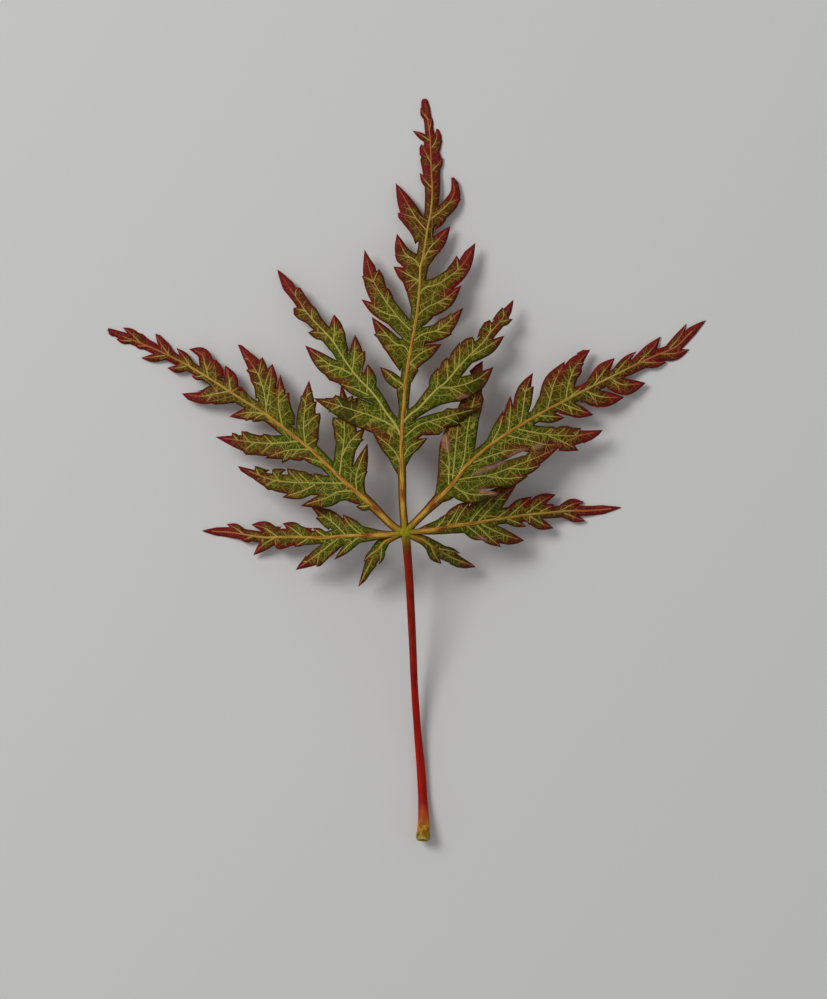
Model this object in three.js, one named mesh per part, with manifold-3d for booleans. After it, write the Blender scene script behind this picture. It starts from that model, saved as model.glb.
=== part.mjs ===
// A fallen leaf of a cut-leaf Japanese maple, lying face up on a flat surface.
//
// Millimetres, +Z up, +Y from the stalk's foot to the tip of the middle lobe. The leaf grew as
// one piece, so it is one closed solid: seven deeply cut lobes that arch down from a raised
// heart until their tips rest, and a round stalk that swells at the foot it broke off at.

import * as THREE from 'three';
import { mergeVertices } from 'three/addons/utils/BufferGeometryUtils.js';
import Module from 'manifold-3d';

// ---- driving dimensions ----

const BLADE_THICKNESS = 0.24;   // the sheet of the blade, veins included
const HEART_HEIGHT = 5.0;       // underside of the heart above the surface
const SIDE_SAG = 0.01;          // how fast leaflets droop away from their lobe's axis, per mm
const SAG_START = 1.0;          // distance from the axis where that droop begins
const TIP_REST = 0.7;           // length of each main tip that lies flat on the surface
const PLAN_ORIGIN = new THREE.Vector2(0.12, 4.53); // centre of the plan box, from the heart

const RIB_STEP = 1.2;           // spacing of outline points along a rib
const VEIN_STEP = 0.7;          // spacing of outline points along a leaflet
const LONGEST_EDGE = 4.5;       // longest edge left before a lobe is bent
const WIDEST_AT = 0.4;          // share of a leaflet's length where it is widest
const ROOT_WIDTH = 0.9;         // a leaflet's width at its root, as a share of its greatest
const REAR_FULLNESS = 1.6;      // how much wider a leaflet is on the side nearer the heart
const WING_LENGTH = 3.0;        // how far its rear edge runs back along the rib, by half width
const WING_REACH = 0.9;         // a leaflet whose root is further than this from a rib has none
const TOOTH_WIDTH = 0.2;        // a tooth's half width, as a share of its length
const TOOTH_REAR = 1.9;         // how much wider a tooth is on the side nearer the heart
const TOOTH_LEAN = 0.55;        // how far back along the vein a tooth starts, by its length
const SAMPLES = 60;             // points tried when looking for the nearest one on a curve
const SAME_POINT = 0.02;        // outline points closer than this are one point
const PLAN_DETAIL = 0.025;      // bends in the plan that are smaller than this are left out
const CORNER_OVERLAP = 0.01;    // growth that makes corners which only just meet overlap
const SMALLEST_OPENING = 0.3;   // enclosed openings smaller than this, in mm2, are filled

const STALK_SIDES = 10;
const STALK_STEPS = 22;
const STALK_RADIUS = 0.32;
const FOOT_RADIUS = 0.52;
const FOOT_LENGTH = 2.4;
const HEART_RADIUS = 0.52;

// ---- the plan of the blade, measured from the heart ----
//
// A lobe has a rib, written x, y, half width for each point, and leaflets on both sides of it.
// A leaflet is its vein from root to tip, its greatest half width, and the tips of its teeth.
// Webs are the corners of blade that fill the angles between teeth, leaflets and ribs.

const LOBES = [
  {
    name: 'middle',
    reach: 32.15,
    rib: [
      0, 0, 0.3, -0.16, 2.1, 0.28, -0.19, 3.4, 0.3, -0.25, 5.5, 0.32, -0.23, 7.5, 0.34,
      -0.1, 8.9, 0.36, 0, 10.5, 0.4, 0.15, 11.9, 0.42, 0.4, 13.3, 0.42, 0.67, 14.8, 0.44,
      0.87, 16, 0.45, 1.05, 17.6, 0.5, 1.15, 19.5, 0.5, 1.38, 20.5, 0.52, 1.64, 22.3, 0.5,
      1.9, 23.6, 0.48, 2.03, 25.2, 0.56, 1.97, 26.6, 0.64, 1.93, 27.6, 0.8, 1.9, 28.4, 0.6,
      1.85, 29.4, 0.36, 1.7, 30.5, 0.3, 1.54, 31.4, 0.34, 1.45, 32.0, 0.24, 1.45, 32.15, 0.12,
    ],
    leaflets: [
      [[1.75, 30.6, 1.4, 31.0, 1.15, 31.5], 0.16, []],
      [[1.9, 29.0, 1.3, 29.4, 0.58, 29.78], 0.2, []],
      [[2, 27.2, 1.6, 28.0, 1.2, 28.8], 0.2, []],
      [[2, 25.5, 1.55, 26.0, 1.1, 26.65], 0.2, []],
      [[1.8, 29.8, 1.9, 30.3, 1.99, 30.8], 0.14, []],
      [[2, 28.5, 2.35, 29.2, 2.34, 29.96], 0.24, []],
      [[2, 26.8, 2.4, 27.2, 2.82, 27.75], 0.22, []],
      [[1.64, 22.3, 1.0, 23, 0.49, 23.8, -0.69, 25.88], 0.52, [-0.32, 24.1, -0.54, 23.64]],
      [[1.13, 19.5, 0.74, 20.1, -0.03, 20.67, -0.6, 22.1], 0.46, [-0.76, 20.54]],
      [[1, 18.6, 0.49, 18.87, -0.86, 19.64], 0.42, [-0.15, 18.42, 0.13, 17.65]],
      [
        [0.42, 14.9, -0.41, 15.73, -1.44, 17.08, -2.4, 18.74, -3.0, 20.92], 0.58,
        [-1.9, 19.45, -1.15, 17.94, -3.2, 18.94],
      ],
      [[-0.6, 15.9, -1.55, 16.2, -3.23, 17.2], 0.36, []],
      [[0.28, 13.2, -0.04, 13.7, -0.87, 14.04, -2.46, 15.9], 0.5, [-2.32, 14.6, -1.7, 13.69]],
      [[-0.1, 10.8, -0.65, 11.2, -1.85, 12.18], 0.36, [-0.63, 10.37]],
      [[-0.25, 4.9, -0.85, 6.05, -2.38, 7.36], 0.42, []],
      [[1.95, 23.2, 3.1, 24.2, 3.65, 25.2, 3.43, 26.3], 0.42, [4.17, 24.7]],
      [[1.38, 20.2, 1.9, 21.1, 2.4, 21.6, 3.37, 22.69], 0.45, [2.67, 20.8]],
      [
        [1.06, 17.5, 1.5, 18.04, 2.6, 18.42, 4.2, 19.7, 5.23, 21.44], 0.56,
        [3.82, 20.47, 4.55, 19.45, 4.62, 19.13],
      ],
      [[0.94, 15.95, 1.5, 16.5, 2.5, 17, 3.2, 17.4, 4.2, 18.26], 0.52, [3.7, 17.14, 3.5, 16.72]],
      [
        [0.68, 14.1, 1.3, 14.6, 2.1, 14.8, 2.9, 15.2, 4.33, 16.6], 0.5,
        [3.4, 16.2, 2.6, 15.73, 3.6, 15.2, 3.5, 14.6],
      ],
      [[0.35, 12.4, 1.2, 13.2, 2.7, 13.87], 0.46, [0.92, 12.2, 1.0, 11.87]],
      [[-0.05, 5.6, 0.4, 6.3, 1.67, 6.92], 0.34, []],
      [[-0.2, 7.3, -1.3, 8.05, -2.6, 8.6, -4.0, 9.05, -6.76, 9.88], 0.72,
        [-5.13, 10.13, -5.64, 8.86, -4.2, 8.2]],
      [[-5.3, 14.0, -5.2, 14.8, -5.24, 16.09], 0.42, [-4.57, 15.13]],
      [[-3.9, 11.7, -3.75, 12.8, -3.68, 14.58], 0.42, [-2.92, 13.37]],
      [[-2.8, 10.3, -2.75, 11.2, -2.73, 12.4], 0.42, []],
      [[-3.9, 11.6, -4.78, 12.1, -5.63, 12.4, -7.39, 13.8], 0.52,
        [-6.76, 12.6, -6.5, 12.17, -5.98, 11.68]],
      [[-2.7, 10.1, -3.8, 10.6, -4.9, 10.95], 0.3, []],
      [[4.9, 13.0, 6.2, 13.75, 7.36, 14.52], 0.38, []],
      [[2.6, 10.6, 3.67, 10.7, 5.2, 11.2, 6.54, 12.2], 0.62, [4.5, 10.0]],
      [[0.0, 7.0, 1.0, 7.85, 2.2, 8.25, 4.0, 8.75, 5.67, 9.17], 0.5, [4.08, 7.88, 3.0, 7.55]],
    ],
    webs: [
        [-0.76, 20.54, -0.62, 20.05, -0.1, 19.55, 0.6, 19.3, 1, 19.9, 0.2, 20.4],
        [-0.15, 18.42, 0.1, 17.7, 0.4, 18.2],
        [0.13, 17.65, 0.42, 16.6, 0.42, 15.7, 0.7, 15.9, 0.75, 17.5],
        [-1.9, 19.45, -1.6, 18.95, -1.36, 18.1, -1.15, 17.94, -1.7, 17.6, -2.2, 18.6],
        [-2.98, 20.9, -2.62, 20.3, -2.2, 19.7, -2.1, 19.3, -2.7, 19.6],
        [-2, 15.75, -1.2, 15.3, -0.55, 14.75, -0.1, 14.4, -0.1, 15, -1, 15.7],
        [-1.7, 13.69, -1.35, 13.25, -1, 12.7, -0.62, 12.2, -0.35, 11.8, -0.1, 12.6, -0.3, 13.3],
        [-0.63, 10.37, -0.52, 9.6, -0.42, 8.9, -0.1, 9.2, -0.1, 10.2],
        [1, 11.87, 0.8, 11.55, 0.5, 11, 0.3, 11.4, 0.5, 12],
        [3.4, 16.2, 3.05, 15.9, 2.6, 15.73, 2.2, 15.4, 2.6, 15.1, 3.3, 15.6],
        [1.25, 15.15, 1.6, 15.35, 2.1, 15.85, 1.4, 15.8, 1, 15.6],
        [4.05, 20.2, 4.4, 20.75, 5.23, 21.44, 4.5, 20],
        [3.1, 19.5, 3.5, 19.98, 3.82, 20.47, 3.9, 19.8, 3.3, 19.2],
        [1.62, 19, 1.75, 19.6, 2.1, 20.2, 2.67, 20.8, 2, 20.7, 1.5, 19.8],
        [4.2, 13.5, 4.12, 14, 4.5, 14.3, 5, 14.43, 4.9, 13.8],
        [5.3, 14.3, 5.5, 14.95, 5.85, 15.5, 6.27, 15.7, 6.1, 14.9],
        [6.4, 15.6, 6.8, 16.2, 7.2, 16.63, 7.1, 16],
        [7.96, 15.73, 7.3, 15.2, 6.8, 14.7, 6.6, 14.95, 7.4, 15.6],
        [3.08, 12.9, 2.65, 12.5, 2.6, 12.2, 3, 12.3],
        [0, 8.4, 0.3, 7.95, 1, 8.45, 1.8, 8.95, 2.6, 9.35,
         3.4, 9.55, 4.1, 9.62, 4.5, 10, 3.2, 10.4, 2.2, 9.9, 1.2, 9.3],
        [2.6, 8.75, 3.1, 9.15, 3.6, 9.1, 4.2, 9.2, 5, 9.1, 3.6, 8.7],
        [1, 7.2, 1.6, 7.1, 2.5, 7.15, 3, 7.55, 2.6, 7.8, 1.4, 7.6],
        [1.2, 28.8, 1.07, 28.5, 1.08, 28, 1.3, 27.7, 1.5, 28.3],
        [2.34, 29.96, 2.52, 29.85, 2.7, 29.45, 2.76, 28.95,
         2.62, 28.4, 2.5, 28, 2.3, 28.4, 2.5, 29.2],
        [3.43, 26.3, 3.65, 26.3, 3.95, 25.9, 4.05, 25.4, 3.9, 25.2, 3.7, 25.6],
        [2.1, 21.9, 2.25, 22.35, 2.7, 22.7, 3.05, 23.1, 3.05, 23.45, 2.4, 23],
        [-0.54, 23.64, -0.5, 23.3, -0.1, 22.8, 0.3, 22.3,
         0.6, 21.8, 0.75, 21.3, 1.1, 21.6, 1, 22.2, 0.2, 23],
        [-8.03, 18.15, -7.75, 18.1, -7.3, 17.4, -6.83, 16.77, -7.3, 16.7, -8, 17.6],
        [-6.83, 16.77, -6.6, 16.6, -6.2, 15.9, -5.65, 15.2, -6, 15, -6.7, 16],
        [-8.27, 16.58, -8.25, 16.1, -7.9, 15.75, -7.3, 15.45,
         -6.85, 15, -6.6, 15.4, -7.2, 16.2, -7.8, 16.6],
        [-7.18, 14.75, -6.7, 14.4, -6.1, 14.1, -5.7, 13.6,
         -5.25, 13.1, -5, 13.4, -5.6, 14.3, -6.4, 14.9],
        [-5.98, 11.68, -5.6, 11.2, -4.9, 10.95, -4, 10.85, -3.6, 11.2, -4.4, 11.6, -5.3, 11.9],
        [-4.57, 15.13, -4.4, 14.7, -4.3, 14, -4.12, 13.35, -4.5, 13.4, -4.8, 14.3],
        [-2.92, 13.37, -2.9, 12.7, -3.05, 12.2, -3.15, 11.8, -3.5, 11.9, -3.4, 13],
        [-5.9, 9.9, -5.3, 9.9, -5.13, 10.13, -4.8, 9.8, -5.6, 9.6],
        [-3.5, 9.95, -3.1, 9.75, -2.7, 9.6, -2.2, 9.3, -2.6, 9.2, -3.5, 9.5],
    ],
    branches: [
      {
        rib: [
          -0.25, 7.0, 0.36, -0.7, 7.9, 0.4, -1.38, 8.8, 0.42, -1.95, 9.7, 0.5, -2.6, 10.5, 0.55,
          -3.4, 11.3, 0.55, -4.1, 12.2, 0.5, -4.7, 13.1, 0.5, -5.35, 14.15, 0.52,
          -6.33, 15.2, 0.5, -7.18, 16.12, 0.42, -7.95, 17.25, 0.38, -8.7, 18.3, 0.45,
          -9.47, 19.47, 0,
        ],
        teeth: [-8.27, 16.58, -7.18, 14.75, -8.03, 18.15, -6.83, 16.77],
      },
      {
        rib: [
          -0.2, 8.0, 0.3, 0.42, 8.67, 0.38, 1.0, 9.08, 0.42, 1.67, 9.8, 0.5, 2.33, 10.5, 0.6,
          3.08, 11.1, 0.62, 4.0, 12.2, 0.58, 4.83, 13.08, 0.5, 5.67, 13.9, 0.45,
          6.33, 14.75, 0.45, 7.04, 15.58, 0.42, 7.6, 16.4, 0.32, 8.02, 17.18, 0,
        ],
        teeth: [7.2, 16.63, 6.27, 15.7, 5.0, 14.43, 4.03, 14.0, 3.65, 13.33, 3.08, 12.9,
          2.42, 12.13, 1.5, 10.42, 7.96, 15.73],
      },
    ],
  },
  {
    name: 'left_upper',
    reach: 26.7,
    rib: [
      0, 0, 0.3, -0.73, 0.35, 0.29, -1.54, 1.09, 0.3, -2.3, 1.85, 0.36, -3.3, 2.75, 0.42,
      -4.5, 3.78, 0.45, -5.78, 5.0, 0.5, -7.0, 6.15, 0.55, -8.6, 7.4, 0.5, -10.33, 8.75, 0.5,
      -12.2, 9.9, 0.48, -13.8, 10.95, 0.42, -15.5, 12.0, 0.4, -17.05, 12.85, 0.4,
      -18.97, 13.75, 0.36, -20.9, 14.5, 0.34, -22.06, 15.04, 0.1,
    ],
    leaflets: [
      [[-19.6, 14.0, -20.4, 14.8, -20.95, 15.17], 0.26, []],
      [[-17.4, 13.0, -18.0, 13.8, -18.53, 14.69], 0.27, [-17.47, 13.92]],
      [[-15.8, 12.1, -16.4, 13.0, -16.97, 13.66], 0.24, []],
      [[-14.5, 11.3, -14.8, 12.4, -15.1, 13.2, -16.03, 13.56], 0.42, [-14.23, 12.83]],
      [[-12.9, 10.3, -13.0, 11.3, -13.3, 12.35], 0.4, [-12.7, 11.57, -12.1, 10.78]],
      [
        [-10.2, 8.6, -10.4, 10.3, -11.0, 11.9, -12.4, 13.9], 0.56,
        [-12.0, 12.86, -11.78, 12.0, -11.42, 11.2, -10.55, 12.96, -9.8, 12.44],
      ],
      [[-10.2, 9.4, -9.95, 11.0, -9.8, 12.44], 0.3, []],
      [[-9.0, 7.7, -9.25, 8.9, -9.33, 9.8, -9.2, 11.66], 0.38, [-8.8, 10.6, -8.53, 10.33]],
      [
        [-7.3, 6.3, -7.47, 7.8, -7.34, 9.4, -7.08, 11.23], 0.55,
        [-7.7, 10.07, -6.8, 10.4, -6.48, 9.66, -6.24, 8.8, -6.3, 6.95],
      ],
      [
        [-4.8, 4.1, -4.64, 5.5, -4.45, 7.5, -4.7, 10.95], 0.6,
        [-5.33, 8.5, -5.24, 7.5, -3.8, 10.1, -3.5, 9.94],
      ],
      [[-4.6, 5.6, -4.0, 6.7, -2.9, 7.7], 0.36, [-3.0, 6.8]],
      [[-3.5, 2.9, -3.6, 3.9, -3.36, 4.9, -2.74, 6.54], 0.42, [-2.72, 4.52]],
      [[-20.3, 14.2, -20.9, 14.2, -21.44, 14.33], 0.16, []],
      [[-19.2, 13.8, -19.6, 13.8, -20.1, 13.85], 0.16, []],
      [[-17.8, 13.1, -18.9, 12.95, -19.58, 12.92], 0.24, []],
      [[-16.2, 12.3, -16.9, 12.15, -17.63, 12.17], 0.24, []],
      [[-14.9, 11.6, -15.4, 11.5, -15.83, 11.58], 0.18, []],
      [[-13.1, 10.4, -14.2, 10.2, -15.2, 10.05, -16.54, 10.26], 0.4, [-14.8, 9.5]],
      [[-10.3, 8.7, -11.5, 8.85, -13.0, 8.53], 0.36, [-11.8, 8.2, -11.3, 8.15, -9.6, 7.88]],
      [
        [-7.7, 6.7, -9.8, 6.55, -11.5, 6.67, -14.03, 7.04], 0.6,
        [-12.8, 7.36, -12.1, 7.45, -10.5, 7.28, -11.97, 5.94, -10.76, 5.68],
      ],
      [[-7.0, 6.1, -8.5, 6.05, -9.4, 5.8, -10.33, 5.46], 0.42, [-9.07, 5.07, -8.47, 5.37]],
      [[-5.4, 4.7, -6.3, 5.2, -7.8, 5.6], 0.26, []],
      [
        [-4.5, 3.6, -7, 3.64, -8.5, 3.69, -10.07, 3.95, -12.36, 4.9], 0.58,
        [-11.06, 4.9, -9.8, 4.6, -8.7, 4.72, -7.95, 4.55, -6.74, 4.34, -10.4, 3.38],
      ],
      [[-6.6, 3.5, -7.5, 3.05, -9.05, 2.56], 0.34, []],
      [[-3.8, 3.05, -4.97, 2.95, -5.7, 2.55, -7.7, 1.93], 0.45, []],
      [[-2.5, 2.0, -3.0, 1.9, -3.6, 1.9], 0.22, []],
    ],
    webs: [
        [-8.53, 10.33, -8.5, 9.7, -8.3, 9, -8.1, 8.6, -8.12, 7.9, -8.6, 7.9, -8.8, 9.3],
        [-6.24, 8.8, -6.2, 8.4, -6.32, 7.7, -6.35, 6.9, -6.7, 6.9, -6.7, 8.3],
        [-5.33, 8.5, -5.38, 8, -5.24, 7.5, -5, 7.6, -5, 8.3],
        [-22, 15, -22, 14.7, -21.75, 14.52, -21.4, 14.5, -21.2, 14.75, -21.5, 14.95],
        [-19.85, 14.8, -19.5, 14.72, -19, 14.3, -18.45, 14, -18.6, 13.7, -19.6, 14.2],
        [-18.5, 14.72, -18.15, 14.6, -17.8, 14.25, -17.47, 13.95, -17.8, 13.8, -18.2, 14.2],
        [-17.47, 13.92, -17.3, 13.5, -16.95, 13.3, -17.3, 13.1, -17.7, 13.4],
        [-14.23, 12.83, -13.95, 12.75, -13.65, 12.4,
         -13.42, 12, -13.42, 11.4, -13.9, 11.4, -14.3, 12],
        [-12.1, 10.78, -11.9, 10.55, -11.5, 10.1, -11.2, 9.8, -11.6, 9.8, -12.1, 10.3],
        [-12.4, 13.9, -12.1, 13.85, -11.6, 13.45, -11, 12.85, -11.3, 12.6, -11.9, 13.2],
        [-11.78, 12, -11.55, 11.75, -11.42, 11.2, -11.2, 10.9,
         -11.1, 10.4, -11.05, 9.85, -10.8, 9.9, -10.8, 10.9, -11.3, 11.9],
        [-15.5, 10.42, -15, 10.55, -14.5, 10.85, -14.1, 10.75, -14.6, 10.4],
        [-16.54, 10.26, -16.1, 9.8, -15.5, 9.58, -14.8, 9.5, -15.4, 9.8],
        [-14.5, 9.6, -14.1, 9.42, -13.4, 9.45, -12.6, 9.55, -12.6, 9.8, -13.4, 9.9],
        [-12.1, 7.45, -11.7, 7.45, -11.3, 7.28, -10.9, 7.2, -11.5, 7],
        [-11.97, 5.94, -11.75, 5.7, -11.2, 5.68, -10.76, 5.68, -11.2, 6],
        [-12.36, 4.9, -12.1, 4.5, -11.5, 4.1, -10.9, 3.8, -10.4, 3.38, -10.6, 4, -11.6, 4.6],
        [-11.06, 4.9, -10.7, 4.8, -10.3, 4.65, -9.9, 4.6, -10.4, 4.3],
        [-9.8, 4.6, -9.6, 4.7, -9, 4.7, -8.75, 4.6, -9.2, 4.2],
        [-7.95, 4.55, -7.6, 4.5, -7.2, 4.3, -6.75, 4.3, -7.2, 4],
        [-8.47, 5.37, -8.2, 5.28, -7.7, 5.22, -7.4, 5.35, -8, 5.6],
        [-10.4, 3.38, -10.1, 3.1, -9.7, 3.1, -9.9, 3.5],
        [-4.9, 2.3, -4.3, 2.32, -3.7, 2.1, -3.2, 2, -3.3, 2.4, -4.2, 2.6],
        [-3, 3.2, -2.75, 2.75, -2.45, 2.4, -2.9, 2.5],
        [-2.9, 7.7, -3.1, 7.1, -3.3, 6.5, -3.6, 6, -3.8, 6.2, -3.4, 7.2],
    ],
    branches: [],
  },
  {
    name: 'left_lower',
    reach: 15.05,
    rib: [
      0, 0, 0.26, -0.9, -0.14, 0.25, -1.76, -0.2, 0.3, -2.7, -0.24, 0.45, -4, -0.24, 0.66,
      -4.7, -0.29, 0.66, -5.9, -0.4, 0.45, -7.1, -0.4, 0.55, -8.3, -0.36, 0.65,
      -9.4, -0.36, 0.6, -10.37, -0.4, 0.42, -11.5, -0.25, 0.42, -12.86, -0.04, 0.4,
      -14.06, 0.04, 0.3, -15.06, 0.08, 0,
    ],
    leaflets: [
      [[-12.0, -0.1, -12.6, 0.3, -13.24, 0.58], 0.22, []],
      [[-9.5, -0.3, -10.4, 0.3, -11.4, 0.55], 0.34, []],
      [[-7.6, -0.3, -8.4, 0.3, -9.05, 0.65], 0.36, []],
      [[-5.9, -0.3, -6.4, 0.05, -6.8, 0.32], 0.2, []],
      [[-4.4, -0.15, -5.4, 0.8, -6.93, 1.88], 0.45, [-6.6, 1.04, -5.6, 1.75]],
      [[-3.2, -0.15, -4.0, 0.5, -4.59, 1.32], 0.36, []],
      [[-11.2, -0.25, -11.7, -0.5, -12.2, -0.57], 0.2, []],
      [[-9.6, -0.4, -10.5, -0.95, -11.25, -1.73], 0.3, [-9.5, -1.25]],
      [[-7.2, -0.5, -7.7, -0.8, -8.2, -1.08], 0.17, []],
      [[-4.9, -0.45, -6.2, -1.45, -8.09, -2.8], 0.44, [-7.57, -2.13, -6.5, -2.57]],
      [[-3.3, -0.3, -4.2, -1.0, -5.2, -2.03], 0.26, []],
    ],
    webs: [
        [-10.1, 0.75, -9.7, 0.45, -9.2, 0.4, -9.05, 0.62, -9.3, 0.1, -10, 0.3],
        [-7.9, 0.55, -7.3, 0.35, -6.8, 0.3, -7, 0, -7.8, 0.2],
        [-6.6, 1.04, -6.3, 0.75, -5.95, 0.4, -5.6, 0.15, -5.4, 0.5, -6.2, 1.1],
        [-3.2, 0.5, -2.6, 0.35, -1.8, 0.17, -1.2, 0.1, -1.8, -0.05, -3, 0.1],
        [-9.5, -1.25, -9.2, -1.3, -8.7, -1.15, -8.3, -0.98, -8.8, -0.8, -9.3, -0.9],
        [-8.09, -2.8, -7.85, -2.4, -7.6, -2.1, -7.3, -1.7, -7.2, -2, -7.7, -2.5],
        [-6.5, -2.57, -6.2, -2.5, -5.8, -2.1, -5.5, -1.8, -5.9, -1.8, -6.4, -2.2],
    ],
    branches: [],
  },
  {
    name: 'left_basal',
    reach: 9.5,
    rib: [
      0, 0, 0.25, -0.6, -0.25, 0.24, -1.3, -0.55, 0.32, -1.76, -1.0, 0.5, -2.2, -1.65, 0.48,
      -2.6, -2.4, 0.42, -3.44, -4.05, 0,
    ],
    leaflets: [
      [[-1.9, -1.2, -2.6, -1.7, -3.07, -2.2], 0.16, []],
      [[-1.7, -1.1, -1.75, -1.8, -1.92, -2.38], 0.17, []],
    ],
    webs: [
        [-3.44, -4.05, -2.9, -3.6, -2.5, -3, -2.05, -2.4, -2.3, -2.3, -2.9, -3.2],
    ],
    branches: [],
  },
  {
    name: 'right_basal',
    reach: 9.5,
    rib: [
      0, 0, 0.25, 0.55, -0.3, 0.24, 1.4, -0.6, 0.38, 2.1, -1.1, 0.52, 2.8, -1.5, 0.52,
      3.7, -1.98, 0.42, 5.23, -2.56, 0,
    ],
    leaflets: [
      [[2.5, -1.2, 3.3, -1.35, 4.1, -1.56], 0.17, []],
      [[1.9, -1.0, 2.2, -1.7, 2.7, -2.33], 0.28, []],
    ],
    webs: [
        [3.2, -2.3, 3.8, -2.6, 4.5, -2.7, 5.23, -2.6, 4.5, -2.3],
    ],
    branches: [],
  },
  {
    name: 'right_lower',
    reach: 16.05,
    rib: [
      0, 0, 0.25, 1.0, 0.06, 0.22, 1.8, 0.13, 0.3, 2.7, 0.3, 0.45, 3.7, 0.5, 0.6,
      4.65, 0.6, 0.64, 5.6, 0.75, 0.5, 7, 0.98, 0.4, 8.5, 1.2, 0.5, 9.5, 1.33, 0.4,
      10.5, 1.42, 0.42, 11.5, 1.52, 0.46, 12.5, 1.58, 0.38, 13.5, 1.57, 0.37,
      14.7, 1.66, 0.34, 16.05, 1.83, 0,
    ],
    leaflets: [
      [[11.6, 1.6, 12.4, 2.05, 13.3, 2.22], 0.28, []],
      [[10.0, 1.5, 10.6, 1.8, 11.1, 2.05], 0.2, []],
      [[9.0, 1.4, 9.9, 2.1, 10.5, 2.5, 11.2, 2.77], 0.38, []],
      [[7.7, 1.2, 8.4, 1.8, 9.4, 2.63], 0.36, []],
      [[6.8, 1.05, 7.4, 1.5, 7.9, 1.85], 0.24, []],
      [[5.4, 0.8, 6.3, 1.75, 7.1, 2.6, 8.25, 3.5], 0.62, [7.55, 2.4]],
      [[4.8, 0.75, 5.5, 1.6, 6.2, 2.3, 7.0, 3.2], 0.5, []],
      [[3.7, 0.6, 4.1, 1.4, 4.78, 2.27], 0.44, []],
      [[3.1, 0.5, 3.6, 1.2, 4.1, 2.15], 0.36, []],
      [[2.4, 0.4, 2.8, 0.9, 3.07, 1.37], 0.2, []],
      [[11.8, 1.4, 12.7, 1.05, 13.42, 0.8], 0.24, []],
      [[9.2, 1.2, 10.0, 0.7, 11.0, 0.28], 0.33, [9.2, 0.5]],
      [[7.5, 1.0, 8.2, 0.75, 8.97, 0.4], 0.24, []],
      [[5.6, 0.6, 6.6, 0.1, 7.6, -0.3, 8.82, -0.62], 0.46, []],
      [[5.3, 0.5, 6.2, -0.35, 7.1, -1.1], 0.34, []],
      [[4.5, 0.5, 5.1, 0.05, 5.95, -0.6], 0.36, []],
    ],
    webs: [
        [1, 0.3, 1.6, 0.6, 2.2, 0.85, 2.6, 1.05, 2.7, 0.7, 1.8, 0.3],
        [8.82, -0.62, 8.3, -0.85, 7.6, -0.95, 7.1, -0.85, 7.6, -0.5],
    ],
    branches: [],
  },
  {
    name: 'right_upper',
    reach: 27.27,
    rib: [
      0, 0, 0.3, 0.75, 0.75, 0.28, 1.5, 1.5, 0.3, 2.35, 2.35, 0.4, 3.1, 3.1, 0.5, 3.75, 3.85, 0.5,
      4.7, 5.05, 0.42, 5.85, 6.05, 0.46, 7.05, 6.95, 0.5, 8.3, 7.75, 0.5, 10, 8.75, 0.5,
      11.9, 9.75, 0.52, 14, 10.85, 0.5, 15.5, 11.6, 0.48, 17, 12.35, 0.5, 18.5, 13.05, 0.42,
      20.1, 13.75, 0.38, 21.3, 14.9, 0.36, 22.3, 15.7, 0,
    ],
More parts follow.
